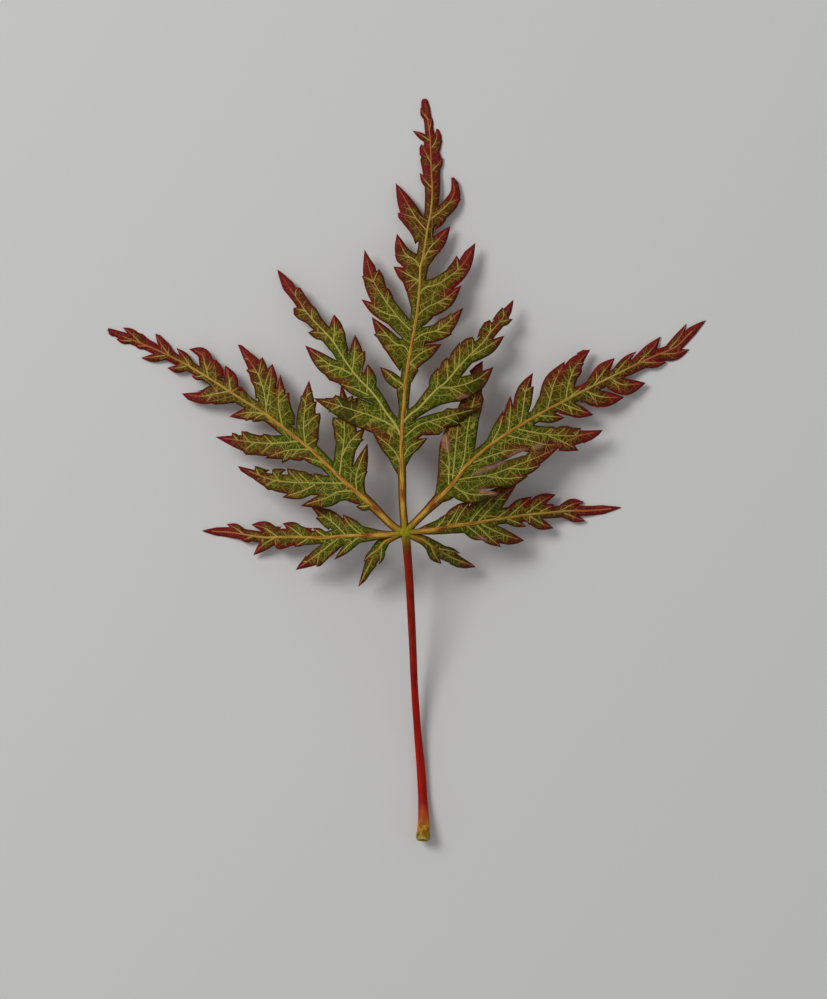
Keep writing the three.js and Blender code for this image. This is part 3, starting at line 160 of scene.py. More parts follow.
LOBES = [
    {
        "name": "middle",
        "reach": 32.15,
        "rib": [
            0, 0, 0.3, -0.16, 2.1, 0.28, -0.19, 3.4, 0.3, -0.25, 5.5, 0.32, -0.23, 7.5, 0.34,
            -0.1, 8.9, 0.36, 0, 10.5, 0.4, 0.15, 11.9, 0.42, 0.4, 13.3, 0.42, 0.67, 14.8, 0.44,
            0.87, 16, 0.45, 1.05, 17.6, 0.5, 1.15, 19.5, 0.5, 1.38, 20.5, 0.52, 1.64, 22.3, 0.5,
            1.9, 23.6, 0.48, 2.03, 25.2, 0.56, 1.97, 26.6, 0.64, 1.93, 27.6, 0.8, 1.9, 28.4, 0.6,
            1.85, 29.4, 0.36, 1.7, 30.5, 0.3, 1.54, 31.4, 0.34, 1.45, 32, 0.24, 1.45, 32.15, 0.12,
        ],
        "leaflets": [
            [[1.75, 30.6, 1.4, 31, 1.15, 31.5], 0.16, []],
            [[1.9, 29, 1.3, 29.4, 0.58, 29.78], 0.2, []], [[2, 27.2, 1.6, 28, 1.2, 28.8], 0.2, []],
            [[2, 25.5, 1.55, 26, 1.1, 26.65], 0.2, []],
            [[1.8, 29.8, 1.9, 30.3, 1.99, 30.8], 0.14, []],
            [[2, 28.5, 2.35, 29.2, 2.34, 29.96], 0.24, []],
            [[2, 26.8, 2.4, 27.2, 2.82, 27.75], 0.22, []],
            [[1.64, 22.3, 1, 23, 0.49, 23.8, -0.69, 25.88], 0.52, [-0.32, 24.1, -0.54, 23.64]],
            [[1.13, 19.5, 0.74, 20.1, -0.03, 20.67, -0.6, 22.1], 0.46, [-0.76, 20.54]],
            [[1, 18.6, 0.49, 18.87, -0.86, 19.64], 0.42, [-0.15, 18.42, 0.13, 17.65]],
            [[0.42, 14.9, -0.41, 15.73, -1.44, 17.08, -2.4, 18.74, -3, 20.92], 0.58,
             [-1.9, 19.45, -1.15, 17.94, -3.2, 18.94]],
            [[-0.6, 15.9, -1.55, 16.2, -3.23, 17.2], 0.36, []],
            [[0.28, 13.2, -0.04, 13.7, -0.87, 14.04, -2.46, 15.9], 0.5,
             [-2.32, 14.6, -1.7, 13.69]],
            [[-0.1, 10.8, -0.65, 11.2, -1.85, 12.18], 0.36, [-0.63, 10.37]],
            [[-0.25, 4.9, -0.85, 6.05, -2.38, 7.36], 0.42, []],
            [[1.95, 23.2, 3.1, 24.2, 3.65, 25.2, 3.43, 26.3], 0.42, [4.17, 24.7]],
            [[1.38, 20.2, 1.9, 21.1, 2.4, 21.6, 3.37, 22.69], 0.45, [2.67, 20.8]],
            [[1.06, 17.5, 1.5, 18.04, 2.6, 18.42, 4.2, 19.7, 5.23, 21.44], 0.56,
             [3.82, 20.47, 4.55, 19.45, 4.62, 19.13]],
            [[0.94, 15.95, 1.5, 16.5, 2.5, 17, 3.2, 17.4, 4.2, 18.26], 0.52,
             [3.7, 17.14, 3.5, 16.72]],
            [[0.68, 14.1, 1.3, 14.6, 2.1, 14.8, 2.9, 15.2, 4.33, 16.6], 0.5,
             [3.4, 16.2, 2.6, 15.73, 3.6, 15.2, 3.5, 14.6]],
            [[0.35, 12.4, 1.2, 13.2, 2.7, 13.87], 0.46, [0.92, 12.2, 1, 11.87]],
            [[-0.05, 5.6, 0.4, 6.3, 1.67, 6.92], 0.34, []],
            [[-0.2, 7.3, -1.3, 8.05, -2.6, 8.6, -4, 9.05, -6.76, 9.88], 0.72,
             [-5.13, 10.13, -5.64, 8.86, -4.2, 8.2]],
            [[-5.3, 14, -5.2, 14.8, -5.24, 16.09], 0.42, [-4.57, 15.13]],
            [[-3.9, 11.7, -3.75, 12.8, -3.68, 14.58], 0.42, [-2.92, 13.37]],
            [[-2.8, 10.3, -2.75, 11.2, -2.73, 12.4], 0.42, []],
            [[-3.9, 11.6, -4.78, 12.1, -5.63, 12.4, -7.39, 13.8], 0.52,
             [-6.76, 12.6, -6.5, 12.17, -5.98, 11.68]],
            [[-2.7, 10.1, -3.8, 10.6, -4.9, 10.95], 0.3, []],
            [[4.9, 13, 6.2, 13.75, 7.36, 14.52], 0.38, []],
            [[2.6, 10.6, 3.67, 10.7, 5.2, 11.2, 6.54, 12.2], 0.62, [4.5, 10]],
            [[0, 7, 1, 7.85, 2.2, 8.25, 4, 8.75, 5.67, 9.17], 0.5, [4.08, 7.88, 3, 7.55]],
        ],
        "webs": [
            [-0.76, 20.54, -0.62, 20.05, -0.1, 19.55, 0.6, 19.3, 1, 19.9, 0.2, 20.4],
            [-0.15, 18.42, 0.1, 17.7, 0.4, 18.2],
            [0.13, 17.65, 0.42, 16.6, 0.42, 15.7, 0.7, 15.9, 0.75, 17.5],
            [-1.9, 19.45, -1.6, 18.95, -1.36, 18.1, -1.15, 17.94, -1.7, 17.6, -2.2, 18.6],
            [-2.98, 20.9, -2.62, 20.3, -2.2, 19.7, -2.1, 19.3, -2.7, 19.6],
            [-2, 15.75, -1.2, 15.3, -0.55, 14.75, -0.1, 14.4, -0.1, 15, -1, 15.7],
            [-1.7, 13.69, -1.35, 13.25, -1, 12.7, -0.62, 12.2, -0.35, 11.8, -0.1, 12.6, -0.3, 13.3],
            [-0.63, 10.37, -0.52, 9.6, -0.42, 8.9, -0.1, 9.2, -0.1, 10.2],
            [1, 11.87, 0.8, 11.55, 0.5, 11, 0.3, 11.4, 0.5, 12],
            [3.4, 16.2, 3.05, 15.9, 2.6, 15.73, 2.2, 15.4, 2.6, 15.1, 3.3, 15.6],
            [1.25, 15.15, 1.6, 15.35, 2.1, 15.85, 1.4, 15.8, 1, 15.6],
            [4.05, 20.2, 4.4, 20.75, 5.23, 21.44, 4.5, 20],
            [3.1, 19.5, 3.5, 19.98, 3.82, 20.47, 3.9, 19.8, 3.3, 19.2],
            [1.62, 19, 1.75, 19.6, 2.1, 20.2, 2.67, 20.8, 2, 20.7, 1.5, 19.8],
            [4.2, 13.5, 4.12, 14, 4.5, 14.3, 5, 14.43, 4.9, 13.8],
            [5.3, 14.3, 5.5, 14.95, 5.85, 15.5, 6.27, 15.7, 6.1, 14.9],
            [6.4, 15.6, 6.8, 16.2, 7.2, 16.63, 7.1, 16],
            [7.96, 15.73, 7.3, 15.2, 6.8, 14.7, 6.6, 14.95, 7.4, 15.6],
            [3.08, 12.9, 2.65, 12.5, 2.6, 12.2, 3, 12.3],
            [0, 8.4, 0.3, 7.95, 1, 8.45, 1.8, 8.95, 2.6, 9.35, 3.4, 9.55, 4.1, 9.62, 4.5, 10,
             3.2, 10.4, 2.2, 9.9, 1.2, 9.3],
            [2.6, 8.75, 3.1, 9.15, 3.6, 9.1, 4.2, 9.2, 5, 9.1, 3.6, 8.7],
            [1, 7.2, 1.6, 7.1, 2.5, 7.15, 3, 7.55, 2.6, 7.8, 1.4, 7.6],
            [1.2, 28.8, 1.07, 28.5, 1.08, 28, 1.3, 27.7, 1.5, 28.3],
            [2.34, 29.96, 2.52, 29.85, 2.7, 29.45, 2.76, 28.95, 2.62, 28.4, 2.5, 28, 2.3, 28.4,
             2.5, 29.2],
            [3.43, 26.3, 3.65, 26.3, 3.95, 25.9, 4.05, 25.4, 3.9, 25.2, 3.7, 25.6],
            [2.1, 21.9, 2.25, 22.35, 2.7, 22.7, 3.05, 23.1, 3.05, 23.45, 2.4, 23],
            [-0.54, 23.64, -0.5, 23.3, -0.1, 22.8, 0.3, 22.3, 0.6, 21.8, 0.75, 21.3, 1.1, 21.6,
             1, 22.2, 0.2, 23],
            [-8.03, 18.15, -7.75, 18.1, -7.3, 17.4, -6.83, 16.77, -7.3, 16.7, -8, 17.6],
            [-6.83, 16.77, -6.6, 16.6, -6.2, 15.9, -5.65, 15.2, -6, 15, -6.7, 16],
            [-8.27, 16.58, -8.25, 16.1, -7.9, 15.75, -7.3, 15.45, -6.85, 15, -6.6, 15.4,
             -7.2, 16.2, -7.8, 16.6],
            [-7.18, 14.75, -6.7, 14.4, -6.1, 14.1, -5.7, 13.6, -5.25, 13.1, -5, 13.4, -5.6, 14.3,
             -6.4, 14.9],
            [-5.98, 11.68, -5.6, 11.2, -4.9, 10.95, -4, 10.85, -3.6, 11.2, -4.4, 11.6, -5.3, 11.9],
            [-4.57, 15.13, -4.4, 14.7, -4.3, 14, -4.12, 13.35, -4.5, 13.4, -4.8, 14.3],
            [-2.92, 13.37, -2.9, 12.7, -3.05, 12.2, -3.15, 11.8, -3.5, 11.9, -3.4, 13],
            [-5.9, 9.9, -5.3, 9.9, -5.13, 10.13, -4.8, 9.8, -5.6, 9.6],
            [-3.5, 9.95, -3.1, 9.75, -2.7, 9.6, -2.2, 9.3, -2.6, 9.2, -3.5, 9.5],
        ],
        "branches": [
            {
                "rib": [
                    -0.25, 7, 0.36, -0.7, 7.9, 0.4, -1.38, 8.8, 0.42, -1.95, 9.7, 0.5,
                    -2.6, 10.5, 0.55, -3.4, 11.3, 0.55, -4.1, 12.2, 0.5, -4.7, 13.1, 0.5,
                    -5.35, 14.15, 0.52, -6.33, 15.2, 0.5, -7.18, 16.12, 0.42, -7.95, 17.25, 0.38,
                    -8.7, 18.3, 0.45, -9.47, 19.47, 0,
                ],
                "teeth": [
                    -8.27, 16.58, -7.18, 14.75, -8.03, 18.15, -6.83, 16.77,
                ],
            },
            {
                "rib": [
                    -0.2, 8, 0.3, 0.42, 8.67, 0.38, 1, 9.08, 0.42, 1.67, 9.8, 0.5, 2.33, 10.5, 0.6,
                    3.08, 11.1, 0.62, 4, 12.2, 0.58, 4.83, 13.08, 0.5, 5.67, 13.9, 0.45,
                    6.33, 14.75, 0.45, 7.04, 15.58, 0.42, 7.6, 16.4, 0.32, 8.02, 17.18, 0,
                ],
                "teeth": [
                    7.2, 16.63, 6.27, 15.7, 5, 14.43, 4.03, 14, 3.65, 13.33, 3.08, 12.9,
                    2.42, 12.13, 1.5, 10.42, 7.96, 15.73,
                ],
            },
        ],
    },
    {
        "name": "left_upper",
        "reach": 26.7,
        "rib": [
            0, 0, 0.3, -0.73, 0.35, 0.29, -1.54, 1.09, 0.3, -2.3, 1.85, 0.36, -3.3, 2.75, 0.42,
            -4.5, 3.78, 0.45, -5.78, 5, 0.5, -7, 6.15, 0.55, -8.6, 7.4, 0.5, -10.33, 8.75, 0.5,
            -12.2, 9.9, 0.48, -13.8, 10.95, 0.42, -15.5, 12, 0.4, -17.05, 12.85, 0.4,
            -18.97, 13.75, 0.36, -20.9, 14.5, 0.34, -22.06, 15.04, 0.1,
        ],
        "leaflets": [
            [[-19.6, 14, -20.4, 14.8, -20.95, 15.17], 0.26, []],
            [[-17.4, 13, -18, 13.8, -18.53, 14.69], 0.27, [-17.47, 13.92]],
            [[-15.8, 12.1, -16.4, 13, -16.97, 13.66], 0.24, []],
            [[-14.5, 11.3, -14.8, 12.4, -15.1, 13.2, -16.03, 13.56], 0.42, [-14.23, 12.83]],
            [[-12.9, 10.3, -13, 11.3, -13.3, 12.35], 0.4, [-12.7, 11.57, -12.1, 10.78]],
            [[-10.2, 8.6, -10.4, 10.3, -11, 11.9, -12.4, 13.9], 0.56,
             [-12, 12.86, -11.78, 12, -11.42, 11.2, -10.55, 12.96, -9.8, 12.44]],
            [[-10.2, 9.4, -9.95, 11, -9.8, 12.44], 0.3, []],
            [[-9, 7.7, -9.25, 8.9, -9.33, 9.8, -9.2, 11.66], 0.38, [-8.8, 10.6, -8.53, 10.33]],
            [[-7.3, 6.3, -7.47, 7.8, -7.34, 9.4, -7.08, 11.23], 0.55,
             [-7.7, 10.07, -6.8, 10.4, -6.48, 9.66, -6.24, 8.8, -6.3, 6.95]],
            [[-4.8, 4.1, -4.64, 5.5, -4.45, 7.5, -4.7, 10.95], 0.6,
             [-5.33, 8.5, -5.24, 7.5, -3.8, 10.1, -3.5, 9.94]],
            [[-4.6, 5.6, -4, 6.7, -2.9, 7.7], 0.36, [-3, 6.8]],
            [[-3.5, 2.9, -3.6, 3.9, -3.36, 4.9, -2.74, 6.54], 0.42, [-2.72, 4.52]],
            [[-20.3, 14.2, -20.9, 14.2, -21.44, 14.33], 0.16, []],
            [[-19.2, 13.8, -19.6, 13.8, -20.1, 13.85], 0.16, []],
            [[-17.8, 13.1, -18.9, 12.95, -19.58, 12.92], 0.24, []],
            [[-16.2, 12.3, -16.9, 12.15, -17.63, 12.17], 0.24, []],
            [[-14.9, 11.6, -15.4, 11.5, -15.83, 11.58], 0.18, []],
            [[-13.1, 10.4, -14.2, 10.2, -15.2, 10.05, -16.54, 10.26], 0.4, [-14.8, 9.5]],
            [[-10.3, 8.7, -11.5, 8.85, -13, 8.53], 0.36, [-11.8, 8.2, -11.3, 8.15, -9.6, 7.88]],
            [[-7.7, 6.7, -9.8, 6.55, -11.5, 6.67, -14.03, 7.04], 0.6,
             [-12.8, 7.36, -12.1, 7.45, -10.5, 7.28, -11.97, 5.94, -10.76, 5.68]],
            [[-7, 6.1, -8.5, 6.05, -9.4, 5.8, -10.33, 5.46], 0.42, [-9.07, 5.07, -8.47, 5.37]],
            [[-5.4, 4.7, -6.3, 5.2, -7.8, 5.6], 0.26, []],
            [[-4.5, 3.6, -7, 3.64, -8.5, 3.69, -10.07, 3.95, -12.36, 4.9], 0.58,
             [-11.06, 4.9, -9.8, 4.6, -8.7, 4.72, -7.95, 4.55, -6.74, 4.34, -10.4, 3.38]],
            [[-6.6, 3.5, -7.5, 3.05, -9.05, 2.56], 0.34, []],
            [[-3.8, 3.05, -4.97, 2.95, -5.7, 2.55, -7.7, 1.93], 0.45, []],
            [[-2.5, 2, -3, 1.9, -3.6, 1.9], 0.22, []],
        ],
        "webs": [
            [-8.53, 10.33, -8.5, 9.7, -8.3, 9, -8.1, 8.6, -8.12, 7.9, -8.6, 7.9, -8.8, 9.3],
            [-6.24, 8.8, -6.2, 8.4, -6.32, 7.7, -6.35, 6.9, -6.7, 6.9, -6.7, 8.3],
            [-5.33, 8.5, -5.38, 8, -5.24, 7.5, -5, 7.6, -5, 8.3],
            [-22, 15, -22, 14.7, -21.75, 14.52, -21.4, 14.5, -21.2, 14.75, -21.5, 14.95],
            [-19.85, 14.8, -19.5, 14.72, -19, 14.3, -18.45, 14, -18.6, 13.7, -19.6, 14.2],
            [-18.5, 14.72, -18.15, 14.6, -17.8, 14.25, -17.47, 13.95, -17.8, 13.8, -18.2, 14.2],
            [-17.47, 13.92, -17.3, 13.5, -16.95, 13.3, -17.3, 13.1, -17.7, 13.4],
            [-14.23, 12.83, -13.95, 12.75, -13.65, 12.4, -13.42, 12, -13.42, 11.4, -13.9, 11.4,
             -14.3, 12],
            [-12.1, 10.78, -11.9, 10.55, -11.5, 10.1, -11.2, 9.8, -11.6, 9.8, -12.1, 10.3],
            [-12.4, 13.9, -12.1, 13.85, -11.6, 13.45, -11, 12.85, -11.3, 12.6, -11.9, 13.2],
            [-11.78, 12, -11.55, 11.75, -11.42, 11.2, -11.2, 10.9, -11.1, 10.4, -11.05, 9.85,
             -10.8, 9.9, -10.8, 10.9, -11.3, 11.9],
            [-15.5, 10.42, -15, 10.55, -14.5, 10.85, -14.1, 10.75, -14.6, 10.4],
            [-16.54, 10.26, -16.1, 9.8, -15.5, 9.58, -14.8, 9.5, -15.4, 9.8],
            [-14.5, 9.6, -14.1, 9.42, -13.4, 9.45, -12.6, 9.55, -12.6, 9.8, -13.4, 9.9],
            [-12.1, 7.45, -11.7, 7.45, -11.3, 7.28, -10.9, 7.2, -11.5, 7],
            [-11.97, 5.94, -11.75, 5.7, -11.2, 5.68, -10.76, 5.68, -11.2, 6],
            [-12.36, 4.9, -12.1, 4.5, -11.5, 4.1, -10.9, 3.8, -10.4, 3.38, -10.6, 4, -11.6, 4.6],
            [-11.06, 4.9, -10.7, 4.8, -10.3, 4.65, -9.9, 4.6, -10.4, 4.3],
            [-9.8, 4.6, -9.6, 4.7, -9, 4.7, -8.75, 4.6, -9.2, 4.2],
            [-7.95, 4.55, -7.6, 4.5, -7.2, 4.3, -6.75, 4.3, -7.2, 4],
            [-8.47, 5.37, -8.2, 5.28, -7.7, 5.22, -7.4, 5.35, -8, 5.6],
            [-10.4, 3.38, -10.1, 3.1, -9.7, 3.1, -9.9, 3.5],
            [-4.9, 2.3, -4.3, 2.32, -3.7, 2.1, -3.2, 2, -3.3, 2.4, -4.2, 2.6],
            [-3, 3.2, -2.75, 2.75, -2.45, 2.4, -2.9, 2.5],
            [-2.9, 7.7, -3.1, 7.1, -3.3, 6.5, -3.6, 6, -3.8, 6.2, -3.4, 7.2],
        ],
        "branches": [],
    },
    {
        "name": "left_lower",
        "reach": 15.05,
        "rib": [
            0, 0, 0.26, -0.9, -0.14, 0.25, -1.76, -0.2, 0.3, -2.7, -0.24, 0.45, -4, -0.24, 0.66,
            -4.7, -0.29, 0.66, -5.9, -0.4, 0.45, -7.1, -0.4, 0.55, -8.3, -0.36, 0.65,
            -9.4, -0.36, 0.6, -10.37, -0.4, 0.42, -11.5, -0.25, 0.42, -12.86, -0.04, 0.4,
            -14.06, 0.04, 0.3, -15.06, 0.08, 0,
        ],
        "leaflets": [
            [[-12, -0.1, -12.6, 0.3, -13.24, 0.58], 0.22, []],
            [[-9.5, -0.3, -10.4, 0.3, -11.4, 0.55], 0.34, []],
            [[-7.6, -0.3, -8.4, 0.3, -9.05, 0.65], 0.36, []],
            [[-5.9, -0.3, -6.4, 0.05, -6.8, 0.32], 0.2, []],
            [[-4.4, -0.15, -5.4, 0.8, -6.93, 1.88], 0.45, [-6.6, 1.04, -5.6, 1.75]],
            [[-3.2, -0.15, -4, 0.5, -4.59, 1.32], 0.36, []],
            [[-11.2, -0.25, -11.7, -0.5, -12.2, -0.57], 0.2, []],
            [[-9.6, -0.4, -10.5, -0.95, -11.25, -1.73], 0.3, [-9.5, -1.25]],
            [[-7.2, -0.5, -7.7, -0.8, -8.2, -1.08], 0.17, []],
            [[-4.9, -0.45, -6.2, -1.45, -8.09, -2.8], 0.44, [-7.57, -2.13, -6.5, -2.57]],
            [[-3.3, -0.3, -4.2, -1, -5.2, -2.03], 0.26, []],
        ],
        "webs": [
            [-10.1, 0.75, -9.7, 0.45, -9.2, 0.4, -9.05, 0.62, -9.3, 0.1, -10, 0.3],
            [-7.9, 0.55, -7.3, 0.35, -6.8, 0.3, -7, 0, -7.8, 0.2],
            [-6.6, 1.04, -6.3, 0.75, -5.95, 0.4, -5.6, 0.15, -5.4, 0.5, -6.2, 1.1],
            [-3.2, 0.5, -2.6, 0.35, -1.8, 0.17, -1.2, 0.1, -1.8, -0.05, -3, 0.1],
            [-9.5, -1.25, -9.2, -1.3, -8.7, -1.15, -8.3, -0.98, -8.8, -0.8, -9.3, -0.9],
            [-8.09, -2.8, -7.85, -2.4, -7.6, -2.1, -7.3, -1.7, -7.2, -2, -7.7, -2.5],
            [-6.5, -2.57, -6.2, -2.5, -5.8, -2.1, -5.5, -1.8, -5.9, -1.8, -6.4, -2.2],
        ],
        "branches": [],
    },
    {
        "name": "left_basal",
        "reach": 9.5,
        "rib": [
            0, 0, 0.25, -0.6, -0.25, 0.24, -1.3, -0.55, 0.32, -1.76, -1, 0.5, -2.2, -1.65, 0.48,
            -2.6, -2.4, 0.42, -3.44, -4.05, 0,
        ],
        "leaflets": [
            [[-1.9, -1.2, -2.6, -1.7, -3.07, -2.2], 0.16, []],
            [[-1.7, -1.1, -1.75, -1.8, -1.92, -2.38], 0.17, []],
        ],
        "webs": [
            [-3.44, -4.05, -2.9, -3.6, -2.5, -3, -2.05, -2.4, -2.3, -2.3, -2.9, -3.2],
        ],
        "branches": [],
    },
    {
        "name": "right_basal",
        "reach": 9.5,
        "rib": [
            0, 0, 0.25, 0.55, -0.3, 0.24, 1.4, -0.6, 0.38, 2.1, -1.1, 0.52, 2.8, -1.5, 0.52,
            3.7, -1.98, 0.42, 5.23, -2.56, 0,
        ],
        "leaflets": [
            [[2.5, -1.2, 3.3, -1.35, 4.1, -1.56], 0.17, []],
            [[1.9, -1, 2.2, -1.7, 2.7, -2.33], 0.28, []],
        ],
        "webs": [
            [3.2, -2.3, 3.8, -2.6, 4.5, -2.7, 5.23, -2.6, 4.5, -2.3],
        ],
        "branches": [],
    },
    {
        "name": "right_lower",
        "reach": 16.05,
        "rib": [
            0, 0, 0.25, 1, 0.06, 0.22, 1.8, 0.13, 0.3, 2.7, 0.3, 0.45, 3.7, 0.5, 0.6,
            4.65, 0.6, 0.64, 5.6, 0.75, 0.5, 7, 0.98, 0.4, 8.5, 1.2, 0.5, 9.5, 1.33, 0.4,
            10.5, 1.42, 0.42, 11.5, 1.52, 0.46, 12.5, 1.58, 0.38, 13.5, 1.57, 0.37,
            14.7, 1.66, 0.34, 16.05, 1.83, 0,
        ],
        "leaflets": [
            [[11.6, 1.6, 12.4, 2.05, 13.3, 2.22], 0.28, []],
            [[10, 1.5, 10.6, 1.8, 11.1, 2.05], 0.2, []],
            [[9, 1.4, 9.9, 2.1, 10.5, 2.5, 11.2, 2.77], 0.38, []],
            [[7.7, 1.2, 8.4, 1.8, 9.4, 2.63], 0.36, []],
            [[6.8, 1.05, 7.4, 1.5, 7.9, 1.85], 0.24, []],
            [[5.4, 0.8, 6.3, 1.75, 7.1, 2.6, 8.25, 3.5], 0.62, [7.55, 2.4]],
            [[4.8, 0.75, 5.5, 1.6, 6.2, 2.3, 7, 3.2], 0.5, []],
            [[3.7, 0.6, 4.1, 1.4, 4.78, 2.27], 0.44, []],
            [[3.1, 0.5, 3.6, 1.2, 4.1, 2.15], 0.36, []],
            [[2.4, 0.4, 2.8, 0.9, 3.07, 1.37], 0.2, []],
            [[11.8, 1.4, 12.7, 1.05, 13.42, 0.8], 0.24, []],
            [[9.2, 1.2, 10, 0.7, 11, 0.28], 0.33, [9.2, 0.5]],
            [[7.5, 1, 8.2, 0.75, 8.97, 0.4], 0.24, []],
            [[5.6, 0.6, 6.6, 0.1, 7.6, -0.3, 8.82, -0.62], 0.46, []],
            [[5.3, 0.5, 6.2, -0.35, 7.1, -1.1], 0.34, []],
            [[4.5, 0.5, 5.1, 0.05, 5.95, -0.6], 0.36, []],
        ],
        "webs": [
            [1, 0.3, 1.6, 0.6, 2.2, 0.85, 2.6, 1.05, 2.7, 0.7, 1.8, 0.3],
            [8.82, -0.62, 8.3, -0.85, 7.6, -0.95, 7.1, -0.85, 7.6, -0.5],
        ],
        "branches": [],
    },
    {
        "name": "right_upper",
        "reach": 27.27,
        "rib": [
            0, 0, 0.3, 0.75, 0.75, 0.28, 1.5, 1.5, 0.3, 2.35, 2.35, 0.4, 3.1, 3.1, 0.5,
            3.75, 3.85, 0.5, 4.7, 5.05, 0.42, 5.85, 6.05, 0.46, 7.05, 6.95, 0.5, 8.3, 7.75, 0.5,
            10, 8.75, 0.5, 11.9, 9.75, 0.52, 14, 10.85, 0.5, 15.5, 11.6, 0.48, 17, 12.35, 0.5,
            18.5, 13.05, 0.42, 20.1, 13.75, 0.38, 21.3, 14.9, 0.36, 22.3, 15.7, 0,
        ],
        "leaflets": [
            [[19.6, 13.6, 20.4, 14.5, 20.88, 15.45], 0.23, []],
            [[17.3, 12.6, 18.3, 13.55, 18.95, 14.5], 0.33, []],
            [[15.6, 11.8, 16.5, 12.8, 17.2, 13.4], 0.22, []],
            [[14, 10.95, 14.75, 11.95, 15.55, 12.9], 0.4, [14.1, 12.15]],
            [[11.9, 9.8, 12.1, 11, 12.7, 12.4, 13.72, 13.5], 0.52,
             [12.1, 12.5, 13.28, 12.5, 13.1, 11.85]],
            [[12.2, 10, 12.7, 10.4, 13.2, 10.85], 0.24, []],
            [[10.5, 9, 10.8, 10.2, 11.1, 11.2, 11.85, 12.65], 0.52,
             [11.3, 12.05, 10.5, 11.35, 10.15, 10.85]],
            [[8.55, 8, 8.75, 9.4, 8.95, 10.6, 9.47, 11.8], 0.48, [8.6, 10.85, 9.53, 10.75]],
            [[7.6, 7.4, 7.75, 8.7, 7.78, 10.1], 0.3, []], [[6.4, 6.6, 7, 7.8, 7.25, 9], 0.3, []],
            [[3.9, 4.1, 4.35, 5.4, 4.5, 6.8, 4.8, 8.6, 5.3, 10.6, 5.75, 12.67], 0.7, [2.4, 4.3]],
            [[3.2, 3.5, 3.25, 5.2, 3.1, 6.4, 2.95, 7.5], 0.46, [2.46, 5.42]],
            [[3.5, 3.9, 3.65, 5.4, 3.8, 7, 4.1, 9.2], 0.75, []],
            [[18.9, 13.2, 20, 13.25, 21.1, 13.55], 0.33, []],
            [[17.6, 12.6, 18.6, 12.55, 19.4, 12.6], 0.26, []],
            [[15.2, 11.4, 16.2, 10.9, 17.85, 11.05], 0.48, [16.1, 10.12]],
            [[13.4, 10.4, 14.6, 10, 16.25, 9.98], 0.48, [14.35, 9.2]],
            [[11.6, 9.5, 12.6, 9.1, 13.95, 8.65], 0.4, [12.45, 8.5]],
            [[9.8, 8.6, 10.7, 8.55, 11.8, 8.45], 0.32, []],
            [[8.3, 7.6, 9.8, 7.3, 11.2, 7.15, 12.9, 7.15, 14.65, 7.55], 0.58,
             [12, 7.85, 13, 7.7, 11, 7.8]],
            [[10.6, 7.1, 11.8, 6.6, 12.85, 6], 0.38, []],
            [[7.6, 7.1, 9.2, 6.75, 10.4, 6.45, 11.5, 6.5], 0.55, []],
            [[5, 5.1, 6.4, 5.65, 7.8, 6.05, 9.05, 6.1], 0.42, [7.5, 5.6]],
            [[3.6, 3.8, 5, 4.05, 6.4, 4.25, 8, 4.85, 9.8, 5.55, 11.5, 6.35], 0.62, [9.3, 5.95]],
            [[7.6, 4.7, 8.9, 4.65, 10.05, 4.95], 0.3, []],
            [[6, 4.1, 7.6, 3.95, 9.1, 4.15], 0.42, []],
            [[3.4, 3.5, 4.3, 2.95, 5.4, 2.75, 7, 2.9], 0.44, [4.85, 2.2]],
        ],
        "webs": [
            [5.75, 12.67, 5.25, 12.35, 4.75, 11.9, 5, 11.4, 5.5, 12],
            [5.15, 6.1, 5.3, 7.1, 5.45, 8.2, 5.7, 9.2, 5.82, 9.8, 5.7, 10.2, 5.3, 9.5, 4.9, 7.5,
             4.7, 6.2],
            [2.46, 5.4, 2.48, 5, 2.6, 4.6, 2.9, 4.7, 2.8, 5.2],
            [2.4, 4.3, 2.36, 3.9, 2.45, 3.4, 2.2, 2.9, 2.7, 3, 2.7, 4],
            [2.7, 2.15, 3.3, 2.35, 3.75, 2.65, 3.4, 2.9, 2.9, 2.5],
            [9.3, 8.9, 9.6, 9.4, 9.75, 9.75, 9.9, 10, 10.1, 9.5, 9.8, 9],
            [9.53, 10.75, 9.45, 10.2, 9.35, 9.5, 9.2, 9, 9, 9.6, 9.1, 10.6],
            [14.6, 10.55, 14.9, 10.75, 15.3, 10.5, 15.9, 10.2, 15.8, 10.6, 15, 11],
            [12.8, 9.55, 13.2, 9.6, 13.7, 9.35, 14.35, 9.2, 14.2, 9.6, 13.4, 9.95],
            [11.3, 8.8, 11.6, 8.7, 12, 8.6, 12.45, 8.5, 12.2, 8.9, 11.6, 9.1],
            [16.2, 11.45, 16.8, 11.65, 17.4, 11.95, 18, 12.2, 17.6, 12.4, 16.6, 12],
            [13.72, 13.5, 13.2, 13.5, 12.7, 13.25, 12.9, 13],
            [13.28, 12.5, 13.1, 12.2, 13.1, 11.85, 12.8, 12.1],
            [13, 10.75, 13.4, 11.1, 13.7, 11.6, 13.9, 11.9, 14.2, 11.6, 13.8, 10.9],
            [14.65, 7.55, 14.3, 7.15, 13.8, 6.8, 13.2, 6.55, 13, 6.8, 14, 7.3],
            [12, 7.85, 12.4, 7.72, 13, 7.7, 12.8, 7.5, 12.1, 7.5],
            [11.3, 6, 11.9, 5.95, 12.85, 6, 12.2, 6.2, 11.4, 6.3],
            [11.5, 6.35, 11.1, 6, 10.6, 5.5, 10.1, 5.1, 10.2, 5.5, 10.9, 6.1],
        ],
        "branches": [],
    },
]

# ---- the stalk and the rolled places ----

